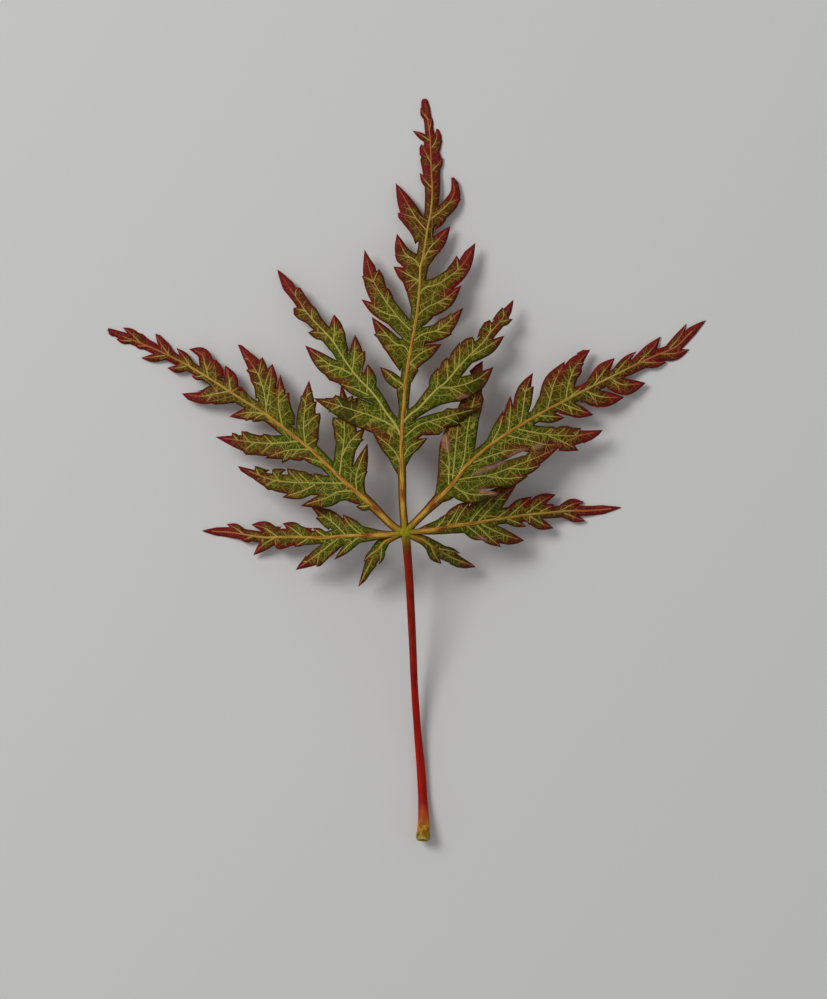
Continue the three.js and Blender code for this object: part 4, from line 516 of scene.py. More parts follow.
# Centre line of the stalk: x and y from the heart, z above the surface, and its radius.
STALK_PATH = [
    (0.0, 0.25, 4.98, 0.3), (0.05, -0.3, 4.88, 0.33), (0.14, -1.0, 4.68, 0.31),
    (0.36, -4.0, 3.75, 0.3), (0.57, -8.1, 2.45, 0.28), (0.68, -11.2, 1.5, 0.265),
    (0.9, -14.5, 0.75, 0.275), (1.15, -17.2, 0.4, 0.315), (1.31, -19.6, 0.38, 0.335),
    (1.38, -21.4, 0.66, 0.42), (1.37, -22.4, 0.92, 0.52),
]
STALK_RADIUS = 0.28  # the radius setting at which the stalk has just those radii
STALK_RINGS = 150
FLUTES = ((0.035, 3, 0.05, 0), (0.02, 5, -0.11, 1))  # depth, number, twist from ring to ring, start

# The stalk's foot past the end of that line: distance and radius. The last few go back up inside.
FOOT_RINGS = [
    (0.12, 0.53), (0.24, 0.525), (0.34, 0.505), (0.41, 0.47), (0.445, 0.42),
    (0.45, 0.37), (0.42, 0.32), (0.36, 0.26), (0.31, 0.18), (0.29, 0.09),
]
FOOT_CUP = 0.28  # how far past that end the middle of the foot's shallow cup lies

# The knuckle where ribs and stalk meet.
KNUCKLE_MIDDLE = HEART_HEIGHT + 0.12
KNUCKLE_DEPTH = 0.28  # from its middle to its lowest point
KNUCKLE_CROWN = 0.24  # from its middle to its slightly flattened top
KNUCKLE_RADIUS = 0.36
KNUCKLE_PULL = 0.17  # how much further it reaches towards a rib
KNUCKLE_SPREAD = 0.2  # how wide that reach is, in radians
KNUCKLE_FULLNESS = 0.8  # below 1, its sides are fuller than a ball's
KNUCKLE_SIDES = 64
KNUCKLE_ROWS = 14

# Places on the right upper lobe and beside it where a margin has rolled over and shows its
# underside: lobe, x, y, half length, half width, and the turn of its length in degrees.
ROLLED = [
    ("right_upper", 6.1, 2.95, 0.9, 0.28, -12), ("right_upper", 8.3, 5.8, 0.95, 0.26, 24),
    ("right_upper", 9.8, 6.3, 0.6, 0.24, 20), ("right_upper", 6.2, 4.75, 1.5, 0.24, 24),
    ("right_upper", 3.0, 6.6, 0.9, 0.36, 105), ("middle", 4.3, 9.95, 0.5, 0.2, 10),
    ("middle", 3.1, 7.5, 0.45, 0.16, 5), ("right_lower", 5.7, -0.5, 0.5, 0.22, -20),
]


# ---- curves ----


class Path:
    """A smooth curve through given points, measured along its own length.

    The first values of each point, as many as smooth says, bend into a curve. Any others that it
    carries change evenly from point to point.
    """

    def __init__(self, points, smooth=2):
        knots = np.array(points, float)
        ends = np.vstack([knots[:1], knots, knots[-1:]])
        shares = np.arange(SPAN_STEPS)[:, None] / SPAN_STEPS
        rows = []
        for before, start, end, after in zip(ends, ends[1:], ends[2:], ends[3:]):
            even = start + (end - start) * shares
            leave, arrive = (end - before) / 2, (after - start) / 2
            bent = (
                (2 * start - 2 * end + leave + arrive) * shares**3
                + (3 * end - 3 * start - 2 * leave - arrive) * shares**2
                + leave * shares
                + start
            )
            rows.append(np.hstack([bent[:, :smooth], even[:, smooth:]]))
        self.points = np.vstack([*rows, knots[-1:]])
        steps = np.linalg.norm(np.diff(self.points[:, :smooth], axis=0), axis=1)
        self.along = np.concatenate([[0], np.cumsum(steps)])
        self.length = self.along[-1]
        self.smooth = smooth

    def at(self, shares):
        """The curve's points, with the values they carry, at shares of its length."""
        places = np.clip(shares, 0, 1) * self.length
        return np.column_stack([np.interp(places, self.along, c) for c in self.points.T])

    def direction(self, shares):
        """Unit vectors along the curve."""
        small = 0.01
        shares = np.asarray(shares, float)
        ahead = self.at(shares + small) - self.at(shares - small)
        ahead = ahead[:, : self.smooth]
        return ahead / np.linalg.norm(ahead, axis=1)[:, None]


def pairs(values):
    """Points from a plain list of x, y, x, y and so on."""
    return np.array(values, float).reshape(-1, 2)


def leaflet_width(share):
    """Half width along a leaflet, from its root (0) to its tip (1)."""
    rising = ROOT_WIDTH + (1 - ROOT_WIDTH) * np.sin(math.pi / 2 * share / WIDEST_AT)
    falling = np.cos(math.pi / 2 * (share - WIDEST_AT) / (1 - WIDEST_AT))
    return np.where(share < WIDEST_AT, rising, np.maximum(falling, 0))


def shares_along(length, least=3):
    """Even shares of a length, close enough together to draw its outline."""
    return np.linspace(0, 1, max(least, math.ceil(length / EDGE_STEP)) + 1)


def both_sides(path, shares, left, right):
    """The outline that runs up one side of a curve and down the other."""
    middle = path.at(shares)[:, :2]
    heading = path.direction(shares)
    across = np.column_stack([-heading[:, 1], heading[:, 0]])
    up = middle - across * np.asarray(right)[:, None]
    down = middle + across * np.asarray(left)[:, None]
    return np.vstack([up, down[::-1]])


def cross(a, b):
    """Above 0 where b turns left from a."""
    return a[0] * b[1] - a[1] * b[0]


def nearest_share(path, target):
    """The share of a path's length nearest to a point, and the distance there."""
    shares = np.linspace(0, 1, 121)
    gaps = np.linalg.norm(path.at(shares)[:, :2] - target, axis=1)
    best = int(gaps.argmin())
    return shares[best], gaps[best]


# ---- outlines ----


def rib_outline(rib):
    """The strip of blade along a rib, as wide as the rib's own values say."""
    shares = shares_along(rib.length)
    width = rib.at(shares)[:, 2]
    return both_sides(rib, shares, width, width)


def leaflet_outline(vein, half_width, ribs):
    """A leaflet leans forward. Its rear side is fuller and runs back along the rib."""
    root = vein.points[0]
    near = [(*nearest_share(rib, root), rib) for rib in ribs]
    share, gap, rib = min(near, key=lambda found: found[1])
    along_rib = rib.direction([share])[0]
    left_is_rear = cross(vein.direction([0])[0], along_rib) < 0
    shares = shares_along(vein.length)
    width = half_width * leaflet_width(shares)
    fullness = (REAR_FULLNESS, 1) if left_is_rear else (1, REAR_FULLNESS)
    ring = both_sides(vein, shares, width * fullness[0], width * fullness[1])
    if gap > WING_REACH:
        return ring
    wing = root - along_rib * WING_LENGTH * half_width
    return np.vstack([ring[:-1], wing]) if left_is_rear else np.vstack([wing, ring[1:]])


def tooth(tip, vein):
    """A tooth's own vein and outline. It starts a little way back from its tip."""
    share, gap = nearest_share(vein, tip)
    start = max(0.0, share - TOOTH_LEAN * gap / vein.length)
    root = vein.at([start])[0, :2]
    heading = vein.direction([start])[0]
    length = np.linalg.norm(tip - root)
    bend = root + (tip - root) / 2 + heading * length * TOOTH_BOW
    line = Path([root, bend, tip])
    left_is_rear = cross(tip - root, heading) < 0
    shares = shares_along(length)
    width = TOOTH_WIDTH * length * leaflet_width(shares)
    fullness = (TOOTH_REAR, 1) if left_is_rear else (1, TOOTH_REAR)
    return line, both_sides(line, shares, width * fullness[0], width * fullness[1])


def with_points_between(ring):
    """The same closed outline, with points every little way along it."""
    rows = []
    for start, end in zip(ring, np.roll(ring, -1, axis=0)):
        count = max(1, math.ceil(np.linalg.norm(end - start) / EDGE_STEP))
        rows.append(start + (end - start) * np.arange(count)[:, None] / count)
    return np.vstack(rows)


def lobe_plan(lobe):
    """Every vein of a lobe, as (path, rank), and every outline that its blade joins up.

    The rib has rank 0, a branch 1, a leaflet's vein 2 and a tooth's vein 3.
    """
    ribs = [Path(np.reshape(rib, (-1, 3))) for rib in
            [lobe["rib"], *(branch["rib"] for branch in lobe["branches"])]]
    veins = [(rib, 0 if i == 0 else 1) for i, rib in enumerate(ribs)]
    rings = [rib_outline(rib) for rib in ribs]
    bearers = [(rib, branch["teeth"]) for rib, branch in zip(ribs[1:], lobe["branches"])]
    for points, half_width, teeth in lobe["leaflets"]:
        vein = Path(pairs(points))
        veins.append((vein, 2))
        rings.append(leaflet_outline(vein, half_width, ribs))
        bearers.append((vein, teeth))
    for vein, teeth in bearers:
        for tip in pairs(teeth):
            line, ring = tooth(tip, vein)
            veins.append((line, 3))
            rings.append(ring)
    rings += [with_points_between(pairs(web)) for web in lobe["webs"]]
    return veins, rings


def inside(points, ring):
    """True for each point that a closed ring winds round."""
    found = np.zeros(len(points), bool)
    low, high = ring.min(0), ring.max(0)
    near = np.flatnonzero(((points >= low) & (points <= high)).all(1))
    if not len(near):
        return found
    px, py = points[near, 0, None], points[near, 1, None]
    ax, ay = ring.T
    bx, by = np.roll(ring, -1, axis=0).T
    turn = (bx - ax) * (py - ay) - (px - ax) * (by - ay)
    rises = (ay <= py) & (by > py) & (turn > 0)
    falls = (ay > py) & (by <= py) & (turn < 0)
    found[near] = rises.sum(1) != falls.sum(1)
    return found


def inside_any(points, rings):
    """True for each point that lies in at least one of some closed rings."""
    found = np.zeros(len(points), bool)
    for ring in rings:
        rest = np.flatnonzero(~found)
        found[rest] = inside(points[rest], ring)
    return found


def nearest(cloud, points):
    """Each point's distance to the nearest of a cloud, and that one's place in the cloud."""
    tree = KDTree(len(cloud))
    for i, (x, y) in enumerate(cloud):
        tree.insert((x, y, 0), i)
    tree.balance()
    found = [tree.find((x, y, 0)) for x, y in points]
    return np.array([f[2] for f in found]), np.array([f[1] for f in found])


# ---- a lobe as a sheet ----


def honeycomb(low, high, step):
    """Points in staggered rows that fill a box."""
    rows = []
    for i, y in enumerate(np.arange(low[1], high[1], step * math.sqrt(3) / 2)):
        x = np.arange(low[0] + (step / 2 if i % 2 else 0), high[0], step)
        rows.append(np.column_stack([x, np.full(len(x), y)]))
    return np.vstack(rows)


def triangulate(rings):
    """Points and triangles that fill the union of some outlines."""
    outline_points = np.vstack(rings)
    grid = honeycomb(outline_points.min(0), outline_points.max(0), GRID_STEP)
    grid = grid[inside_any(grid, rings)]
    grid = grid[nearest(outline_points, grid)[0] > GRID_CLEAR]
    edges, start = [], 0
    for ring in rings:
        count = len(ring)
        edges += [(start + i, start + (i + 1) % count) for i in range(count)]
        start += count
    flat = np.vstack([outline_points, grid])
    result = delaunay_2d_cdt([tuple(p) for p in flat], edges, [], 0, 1e-4, False)
    points = np.array([tuple(p) for p in result[0]])
    triangles = np.array([tuple(f) for f in result[2]])
    kept = inside_any(points[triangles].mean(1), rings)
    kept |= specks(points, triangles, kept)
    return compact(points, triangles[kept])


def specks(points, triangles, kept):
    """Marks the enclosed openings too small to be part of the leaf's shape."""
    edges = np.sort(np.stack([triangles, np.roll(triangles, -1, axis=1)], axis=2), axis=2)
    _, sides, counts = np.unique(edges.reshape(-1, 2), axis=0, return_inverse=True,
                                 return_counts=True)
    sides = sides.reshape(-1, 3)
    at_border = (counts[sides] == 1).any(axis=1)
    a, b, c = (points[triangles[:, i]] for i in range(3))
    areas = np.abs(cross((b - a).T, (c - a).T)) / 2
    marked = np.zeros(len(triangles), bool)
    for group in touching_groups(sides, kept):
        enclosed = not at_border[group].any()
        marked[group] = enclosed and areas[group].sum() < SMALLEST_OPENING
    return marked


def touching_groups(sides, kept):
    """Groups of the triangles that aren't kept, joined wherever two share a side."""
    owners = {}
    for number in np.flatnonzero(~kept):
        for side in sides[number]:
            owners.setdefault(side, []).append(number)
    groups, seen = [], kept.copy()
    for first in np.flatnonzero(~kept):
        if seen[first]:
            continue
        seen[first] = True
        group, waiting = [], [first]
        while waiting:
            number = waiting.pop()
            group.append(number)
            fresh = [other for side in sides[number] for other in owners[side]
                     if not seen[other]]
            seen[fresh] = True
            waiting += set(fresh)
        groups.append(group)
    return groups


def compact(points, triangles):
    """The same triangles without the points that none of them uses."""
    used, renumbered = np.unique(triangles, return_inverse=True)
    return points[used], renumbered.reshape(-1, 3)


def rim_of(triangles):
    """The directed edges that only one triangle has."""
    edges = np.vstack([triangles[:, [0, 1]], triangles[:, [1, 2]], triangles[:, [2, 0]]])
    keys = np.sort(edges, axis=1)
    _, first, counts = np.unique(keys, axis=0, return_index=True, return_counts=True)
    return edges[first[counts == 1]]


def step(values, low, high):
    """0 below low, 1 above high, and smooth between."""
    share = np.clip((values - low) / (high - low), 0, 1)
    return share * share * (3 - 2 * share)


class Sheet:
    """A lobe's blade: its plan, its veins, and the height of its surface."""

    def __init__(self, lobe):
        self.lobe = lobe
        self.veins, self.rings = lobe_plan(lobe)
        self.points, self.triangles = triangulate(self.rings)
        self.rim = rim_of(self.triangles)
        a, b = self.points[self.rim[:, 0]], self.points[self.rim[:, 1]]
        self.margin_cloud = np.vstack([a + (b - a) * quarter / 4 for quarter in range(4)])
        samples, shares, ranks = [], [], []
        for path, rank in self.veins:
            at = shares_along(path.length * 2)
            samples.append(path.at(at)[:, :2])
            shares.append(at)
            ranks.append(np.full(len(at), rank))
        self.vein_cloud = np.vstack(samples)
        self.vein_share = np.concatenate(shares)
        self.vein_rank = np.concatenate(ranks)
        tip = lobe["rib"][-3:-1]
        self.axis = np.array(tip) / np.hypot(*tip)

    def measure(self, points):
        """Distances to the margin and the nearest vein, the share along it, and its rank."""
        margin, _ = nearest(self.margin_cloud, points)
        vein, index = nearest(self.vein_cloud, points)
        return margin, vein, self.vein_share[index], self.vein_rank[index]

    def arch(self, points):
        """Height of the underside, before the surface's own relief."""
        reach = self.lobe["reach"] - TIP_REST
        share = np.minimum(1, np.hypot(*points.T) / reach)
        aside = np.abs(points[:, 0] * self.axis[1] - points[:, 1] * self.axis[0])
        sag = SIDE_SAG * np.maximum(0, aside - SAG_START) ** 2
        return np.maximum(0, HEART_HEIGHT * (1 - 3 * share**2 + 2 * share**3) - sag)

    def underside(self, points, margin, vein, shape):
        """Height of the underside with its waves, its quilting and its turned margin."""
        x, y = points.T
        away = step(np.hypot(x, y), *RELIEF_GROWS)
        wave = sum(np.sin(across * x + along * y + start) for across, along, start in WAVES)
        height = self.arch(points) + shape.wave / MM / 2 * wave * away
        height += shape.quilting / MM * step(vein, 0.0, QUILT_WIDTH)
        height -= shape.curl / MM * np.exp(-margin / CURL_WIDTH) * away
        height -= shape.fold * np.minimum(vein, FOLD_WIDTH) * away
        height += shape.roll / MM * self.rolled(points)
        return np.maximum(height, 0.0)

    def rolled(self, points):
        """1 in the middle of each place that has rolled over, fading to 0 round it."""
        found = np.zeros(len(points))
        for lobe, x, y, half_length, half_width, degrees in ROLLED:
            if lobe != self.lobe["name"]:
                continue
            turn = math.radians(degrees)
            dx, dy = points[:, 0] - x, points[:, 1] - y
            along = (dx * math.cos(turn) + dy * math.sin(turn)) / half_length
            across = (dy * math.cos(turn) - dx * math.sin(turn)) / half_width
            found = np.maximum(found, 1 - step(np.hypot(along, across), *ROLL_FADES))
        return found

    def lift(self, points, radius, shape):
        """Places a vein's plan points just under the blade's upper face, clear of the floor."""
        margin, vein, _, _ = self.measure(points)
        upper = self.underside(points, margin, vein, shape) + shape.thickness / MM
        return np.column_stack([points, np.maximum(upper - SUNK * radius, radius)])


# ---- meshes ----


def to_frame(points):
    """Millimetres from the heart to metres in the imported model's frame."""
    return (np.asarray(points) - [*PLAN_CENTRE, 0.0]) * MM


def put_in_scene(name, data):
    """A new object with some mesh, lamp or camera, at the origin."""
    made = bpy.data.objects.new(name, data)
    bpy.context.scene.collection.objects.link(made)
    return made


def new_object(name, points, edges, faces, values):
    """A mesh object with a number for each point under each name in values."""
    mesh = bpy.data.meshes.new(name)
    mesh.from_pydata(to_frame(points).tolist(), [tuple(e) for e in edges], faces)
    for key, numbers in values.items():
        layer = mesh.attributes.new(key, "FLOAT", "POINT")
        layer.data.foreach_set("value", np.asarray(numbers, np.float32))
    mesh.update()
    return put_in_scene(name, mesh)


def declare(piece):
    """Parents a finished piece to the root body, and hides the imported part that it stands for."""
    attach(piece, "root")
    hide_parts(NODE)


def shade_smooth(mesh):
    """Shades every face of a mesh smooth."""
    mesh.polygons.foreach_set("use_smooth", [True] * len(mesh.polygons))


@functools.cache
def sheets():
    """The seven lobes, worked out once."""
    return [Sheet(lobe) for lobe in LOBES]


def covering(points, height, own):
    """1 where another lobe passes under a sheet's points, else 0: the mask for the painted shade on
    the upper lobe.
    """
    found = np.zeros(len(points))
    for other in sheets():
        if other is own:
            continue
        near = np.flatnonzero(inside_any(points, other.rings))
        near = near[np.hypot(*points[near].T) > HEART_CLEAR]
        if len(near):
            under = other.arch(points[near]) < height[near]
            found[near[under]] = 1.0
    return found


def ripeness(points, share, rank, reach):
    """How far the green has turned: towards tips, and towards the ends of lobes."""
    out = np.hypot(*points.T) / reach
    tip = np.choose(rank, [first + gain * step(share, start, end)
                           for start, end, first, gain in TURNING])
    return np.clip(END_TURN * step(out, *LOBE_TURNS) + tip * (TIP_TURN + OUTER_TURN * out), 0, 1)


def bareness(points, vein, rank, reach):
    """1 on the bare strip between the heart and a lobe's first leaflet."""
    out = np.hypot(*points.T) / reach
    return (1 - step(out, *BARE_ALONG)) * (1 - step(vein, *BARE_BESIDE)) * (rank == 0)


def blade_shell(sheet, shape):
    """A lobe's two faces and the rim between them, with what its colours depend on."""
    points, triangles = sheet.points, sheet.triangles
    margin, vein, share, rank = sheet.measure(points)
    low = sheet.underside(points, margin, vein, shape)
    full = MARGIN_THICKNESS + (1 - MARGIN_THICKNESS) * step(margin, 0.0, MARGIN_WIDTH)
    thickness = shape.thickness / MM * full
    count = len(points)
    corners = np.vstack([np.column_stack([points, low]),
                         np.column_stack([points, low + thickness])])
    start, end = sheet.rim.T
    faces = [tuple(t) for t in triangles[:, ::-1]]
    faces += [tuple(t) for t in triangles + count]
    faces += list(zip(start, end, end + count, start + count))
    values = {
        "margin": margin,
        "vein": vein,
        "ripeness": ripeness(points, share, rank, sheet.lobe["reach"]),
        # Where this lobe lies over another: the mask for its painted shade.
        "painted_shade_mask": covering(points, low, sheet),
        "bare": bareness(points, vein, rank, sheet.lobe["reach"]),
        "rolled": sheet.rolled(points),
    }
    values = {key: np.tile(numbers, 2) for key, numbers in values.items()}
    values["face_up"] = np.repeat([0.0, 1.0], count)
    return corners, faces, values


def blade_mesh(shape):
    """The seven lobes as one object, each of them a closed shell."""
    corners, faces, values, start = [], [], {}, 0
    for sheet in sheets():
        new_corners, new_faces, new_values = blade_shell(sheet, shape)
        corners.append(new_corners)
        faces += [tuple(int(i) + start for i in face) for face in new_faces]
        for key, numbers in new_values.items():
            values.setdefault(key, []).append(numbers)
        start += len(new_corners)
    values = {key: np.concatenate(parts) for key, parts in values.items()}
    made = new_object("leaf_blade", np.vstack(corners), [], faces, values)
    shade_smooth(made.data)
    return made


# ---- veins ----


def vein_lines(sheet, sizes):
    """Each vein as plan points with a radius, how tan it is, and how far it has turned."""
    lines = []
    reach = sheet.lobe["reach"]
    for path, rank in sheet.veins:
        shares = np.linspace(0, 1, max(4, math.ceil(path.length / VEIN_STEP)) + 1)
        shares = shares[shares <= (RIB_ENDS if rank == 0 else VEIN_ENDS)]
        points = path.at(shares)[:, :2]
        out = np.maximum(np.hypot(*points.T) / reach, RIB_OUT * shares * (rank == 0))
        radius = strand_radius(path, rank, shares, out, sizes)
        tan = (1 - TAN_LOSS * step(out, *TAN_FADES)) * (rank == 0)
        turned = ripeness(points, shares, np.full(len(points), rank), reach)
        lines.append((points, radius / MM, tan, turned))
    return lines + side_veins(sheet, sizes)


def strand_radius(path, rank, shares, out, sizes):
    """Radius along a vein. Ribs are strong at the heart, and longer ones are stronger."""
    if rank == 0:
        sturdy = min(1.0, SHORT_RIB + path.length / STURDY_LENGTH)
        left = np.maximum(1 - out, 0) ** RIB_TAPER
        return sizes.rib * sturdy * (RIB_END + (1 - RIB_END) * left)
    tip, more = TAPERS[rank]
    thickest = sizes.rib if rank == 1 else sizes.vein
    return thickest * (tip + more * (1 - shares))


def side_veins(sheet, sizes):
    """Fine veins that leave each rib and leaflet vein on alternate sides."""
    lines = []
    gap = sizes.side_gap / MM
    for path, rank in sheet.veins:
        if rank == 3 or path.length < 2 * gap:
            continue
        places = np.arange(gap * SIDE_FIRST, path.length - gap * SIDE_LAST, gap / 2)
        for i, place in enumerate(places):
            share = [place / path.length]
            start = path.at(share)[0, :2]
            heading = path.direction(share)[0]
            lines.append(side_vein(sheet, start, heading, 1 if i % 2 else -1, i, sizes))
    return [line for line in lines if line is not None]


def side_vein(sheet, start, heading, side, number, sizes):
    """One fine vein, bending forward and back a little until it nears the margin."""
    across = np.array([-heading[1], heading[0]]) * side
    reach = np.linspace(0, 1, SIDE_STEPS)[:, None]
    sway = SIDE_SWAY * np.sin(SWAY_TURN * reach + SWAY_SHIFT * number) * reach
    slant = SIDE_FORWARD + SIDE_BEND * math.sin(SLANT_SHIFT * number)
    forward = slant * reach + SIDE_BEND * reach**2
    tries = start + across * (SIDE_OUT * reach + SWAY_OUT * sway) + heading * (forward + sway)
    margin, _ = nearest(sheet.margin_cloud, tries)
    within = inside_any(tries, sheet.rings) & (margin > SIDE_CLEAR)
    count = int(within.argmin()) if not within.all() else len(within)
    if count < SIDE_FEWEST:
        return None
    shares = np.linspace(0, 1, count)
    radius = sizes.vein * SIDE_RADIUS * (1 - shares / 2)
    _, _, share, rank = sheet.measure(tries[:count])
    turned = ripeness(tries[:count], share, rank, sheet.lobe["reach"])
    return tries[:count], radius / MM, np.zeros(count), turned


def add_sockets(tree, sides):
    """The tree's named inputs, with their usual values, and its one output."""
    face = tree.interface
    face.new_socket("Geometry", in_out="INPUT", socket_type="NodeSocketGeometry")
    thickness = face.new_socket("Thickness", in_out="INPUT", socket_type="NodeSocketFloat")
    thickness.default_value = 1.0
    count = face.new_socket("Sides", in_out="INPUT", socket_type="NodeSocketInt")
    count.default_value = sides
    face.new_socket("Geometry", in_out="OUTPUT", socket_type="NodeSocketGeometry")


def vein_tree(material, sides):
    """Geometry nodes that turn lines into round veins with closed ends."""
    tree = bpy.data.node_groups.new("Round veins", "GeometryNodeTree")
    add_sockets(tree, sides)
    add, link = tree.nodes.new, tree.links.new
    source, result = add("NodeGroupInput"), add("NodeGroupOutput")
    # A ring of points, each of which knows its number, so that streaks can run along a vein.
    ring = add("GeometryNodeCurvePrimitiveCircle")
    ring.inputs["Radius"].default_value = 1.0
    number, turn = add("GeometryNodeInputIndex"), add("GeometryNodeStoreNamedAttribute")
    turn.data_type = "FLOAT"
    turn.inputs["Name"].default_value = "turn"
    link(source.outputs["Sides"], ring.inputs["Resolution"])
    link(ring.outputs["Curve"], turn.inputs["Geometry"])
    link(number.outputs["Index"], turn.inputs["Value"])
    # The radius of each point of a line.
    radius, scaled = add("GeometryNodeInputNamedAttribute"), add("ShaderNodeMath")
    radius.data_type = "FLOAT"
    radius.inputs["Name"].default_value = "vein_radius"
    scaled.operation = "MULTIPLY"
    link(radius.outputs["Attribute"], scaled.inputs[0])
    link(source.outputs["Thickness"], scaled.inputs[1])
    # The ring swept along each line.
    to_curve, sweep = add("GeometryNodeMeshToCurve"), add("GeometryNodeCurveToMesh")
    realize, finish = add("GeometryNodeRealizeInstances"), add("GeometryNodeSetMaterial")
    sweep.inputs["Fill Caps"].default_value = True
    finish.inputs["Material"].default_value = material
    link(source.outputs["Geometry"], to_curve.inputs["Mesh"])
    link(to_curve.outputs["Curve"], sweep.inputs["Curve"])
    link(turn.outputs["Geometry"], sweep.inputs["Profile Curve"])
    link(scaled.outputs[0], sweep.inputs["Scale"])
    link(sweep.outputs["Mesh"], realize.inputs["Geometry"])
    link(realize.outputs["Geometry"], finish.inputs["Geometry"])
    link(finish.outputs["Geometry"], result.inputs["Geometry"])
    return tree


def bake_modifier(carrier, name):
    """Turns an object with a live modifier into a plain mesh object."""
    depsgraph = bpy.context.evaluated_depsgraph_get()
    mesh = bpy.data.meshes.new_from_object(carrier.evaluated_get(depsgraph))
    bpy.data.objects.remove(carrier)
    mesh.name = name
    return put_in_scene(name, mesh)


def veins_mesh(sizes, shape, material):
    """Every vein of every lobe as one object of round strands."""
    points, edges = [], []
    values = {"vein_radius": [], "tan": [], "ripeness": [], "along": []}
    for sheet in sheets():
        for line, radius, tan, turned in vein_lines(sheet, sizes):
            start = len(points)
            points += sheet.lift(line, radius, shape).tolist()
            edges += [(start + i, start + i + 1) for i in range(len(line) - 1)]
            steps = np.linalg.norm(np.diff(line, axis=0), axis=1)
            values["vein_radius"] += (radius * MM).tolist()
            values["tan"] += list(tan)
            values["ripeness"] += list(turned)
            values["along"] += [0.0, *np.cumsum(steps)]
    carrier = new_object("vein_lines", points, edges, [], values)
    tree = vein_tree(material, sizes.sides)
    live = carrier.modifiers.new("Round veins", "NODES")
    live.node_group = tree
    inputs = {item.name: item.identifier for item in tree.interface.items_tree
              if item.in_out == "INPUT"}
    live[inputs["Thickness"]] = 1.0
    live[inputs["Sides"]] = sizes.sides
    made = bake_modifier(carrier, "leaf_veins")
    shade_smooth(made.data)
    return made


# ---- stalk ----


def closed_tube(name, rings, first, last, along):
    """An object whose faces join rings of points and close on one more point at each end.

    Seen from the last ring, each ring runs anticlockwise. along has a number for each ring.
    """
    rows, count, _ = rings.shape
    top = (rows - 1) * count
    faces = []
    for i in range(count):
        j = (i + 1) % count
        for row in range(0, top, count):
            faces.append((row + i, row + j, row + j + count, row + i + count))
        faces.append((top + count, j, i))
        faces.append((top + count + 1, top + i, top + j))
    points = np.vstack([rings.reshape(-1, 3), first, last])
    values = np.append(np.repeat(along, count), [along[0], along[-1]])
    made = new_object(name, points, [], faces, {"along": values})
    shade_smooth(made.data)
    return made


def stalk_stations():
    """Centre, heading and radius of each ring along the stalk and round its foot."""
    path = Path(STALK_PATH, smooth=3)
    shares = np.linspace(0, 1, STALK_RINGS)
    stations = [(row[:3], heading, row[3])
                for row, heading in zip(path.at(shares), path.direction(shares))]
    end, heading, _ = stations[-1]
    stations += [(end + heading * past, heading, radius) for past, radius in FOOT_RINGS]
    return stations, end + heading * FOOT_CUP


def stalk_mesh(shape):
    """A round, faintly fluted stalk with a swollen foot that ends in a shallow cup."""
    stations, cup = stalk_stations()
    scale = shape.radius / MM / STALK_RADIUS
    turns = -np.arange(shape.sides) * 2 * math.pi / shape.sides
    rings = []
    for number, (centre, heading, radius) in enumerate(stations):
        side = np.cross(heading, (0, 0, 1))
        side /= np.linalg.norm(side)
        up = np.cross(side, heading)
        lumps = 1 + sum(depth * np.sin(flutes * turns + twist * number + start)
                        for depth, flutes, twist, start in FLUTES)
        spokes = np.outer(np.cos(turns), side) + np.outer(np.sin(turns), up)
        rings.append(centre + spokes * (radius * scale * lumps)[:, None])
    along = np.linspace(0, 1, len(rings))
    return closed_tube("leaf_stalk", np.array(rings), stations[0][0], cup, along)


def knuckle_mesh():
    """The lump where the ribs of the lobes meet the stalk, drawn out towards each of them."""
    ribs = [math.atan2(lobe["rib"][4], lobe["rib"][3]) for lobe in LOBES] + [-math.pi / 2]
    turns = np.arange(KNUCKLE_SIDES) * 2 * math.pi / KNUCKLE_SIDES
    gaps = np.array([[math.remainder(turn - rib, 2 * math.pi) for rib in ribs] for turn in turns])
    pull = np.minimum(np.exp(-((gaps / KNUCKLE_SPREAD) ** 2)).sum(axis=1), 1)
    rings = []
    for row in range(1, KNUCKLE_ROWS):
        tilt = math.pi * row / KNUCKLE_ROWS - math.pi / 2
        radius = (KNUCKLE_RADIUS + KNUCKLE_PULL * pull) * math.cos(tilt) ** KNUCKLE_FULLNESS
        height = np.full(KNUCKLE_SIDES, KNUCKLE_MIDDLE + KNUCKLE_DEPTH * math.sin(tilt))
        rings.append(np.column_stack([radius * np.cos(turns), radius * np.sin(turns), height]))
    bottom = (0, 0, KNUCKLE_MIDDLE - KNUCKLE_DEPTH)
    crown = (0, 0, KNUCKLE_MIDDLE + KNUCKLE_CROWN)
    return closed_tube("leaf_heart", np.array(rings), bottom, crown, np.zeros(len(rings)))


def join_meshes(first, second):
    """Moves the second object's mesh into the first."""
    with bpy.context.temp_override(active_object=first, selected_editable_objects=[first, second],
                                   object=first, selected_objects=[first, second]):
        bpy.ops.object.join()
    return first


# ---- materials ----
#
# Scales count a pattern's repeats in a metre.

PATCHES, SPECKLE = 450.0, 5200.0  # of the blade
WARP, WARP_AMOUNT = 900.0, 0.3 * MM  # what keeps the net from running straight
COARSE_NET, FINE_NET = (1500.0, 0.05), (2900.0, 0.07)  # scale, and width of lines to a repeat
VEIN_GRAIN = 3500.0  # of the veins
STREAKS, SPOTS, FOOT_PATCHES = 3000.0, 1500.0, 4200.0  # of the stalk


def linear(colour):
    """A colour given from 0 to 255, as the linear values that shaders take."""
    shares = [c / 255 for c in colour]
    return [s / 12.92 if s <= 0.04045 else ((s + 0.055) / 1.055) ** 2.4 for s in shares]


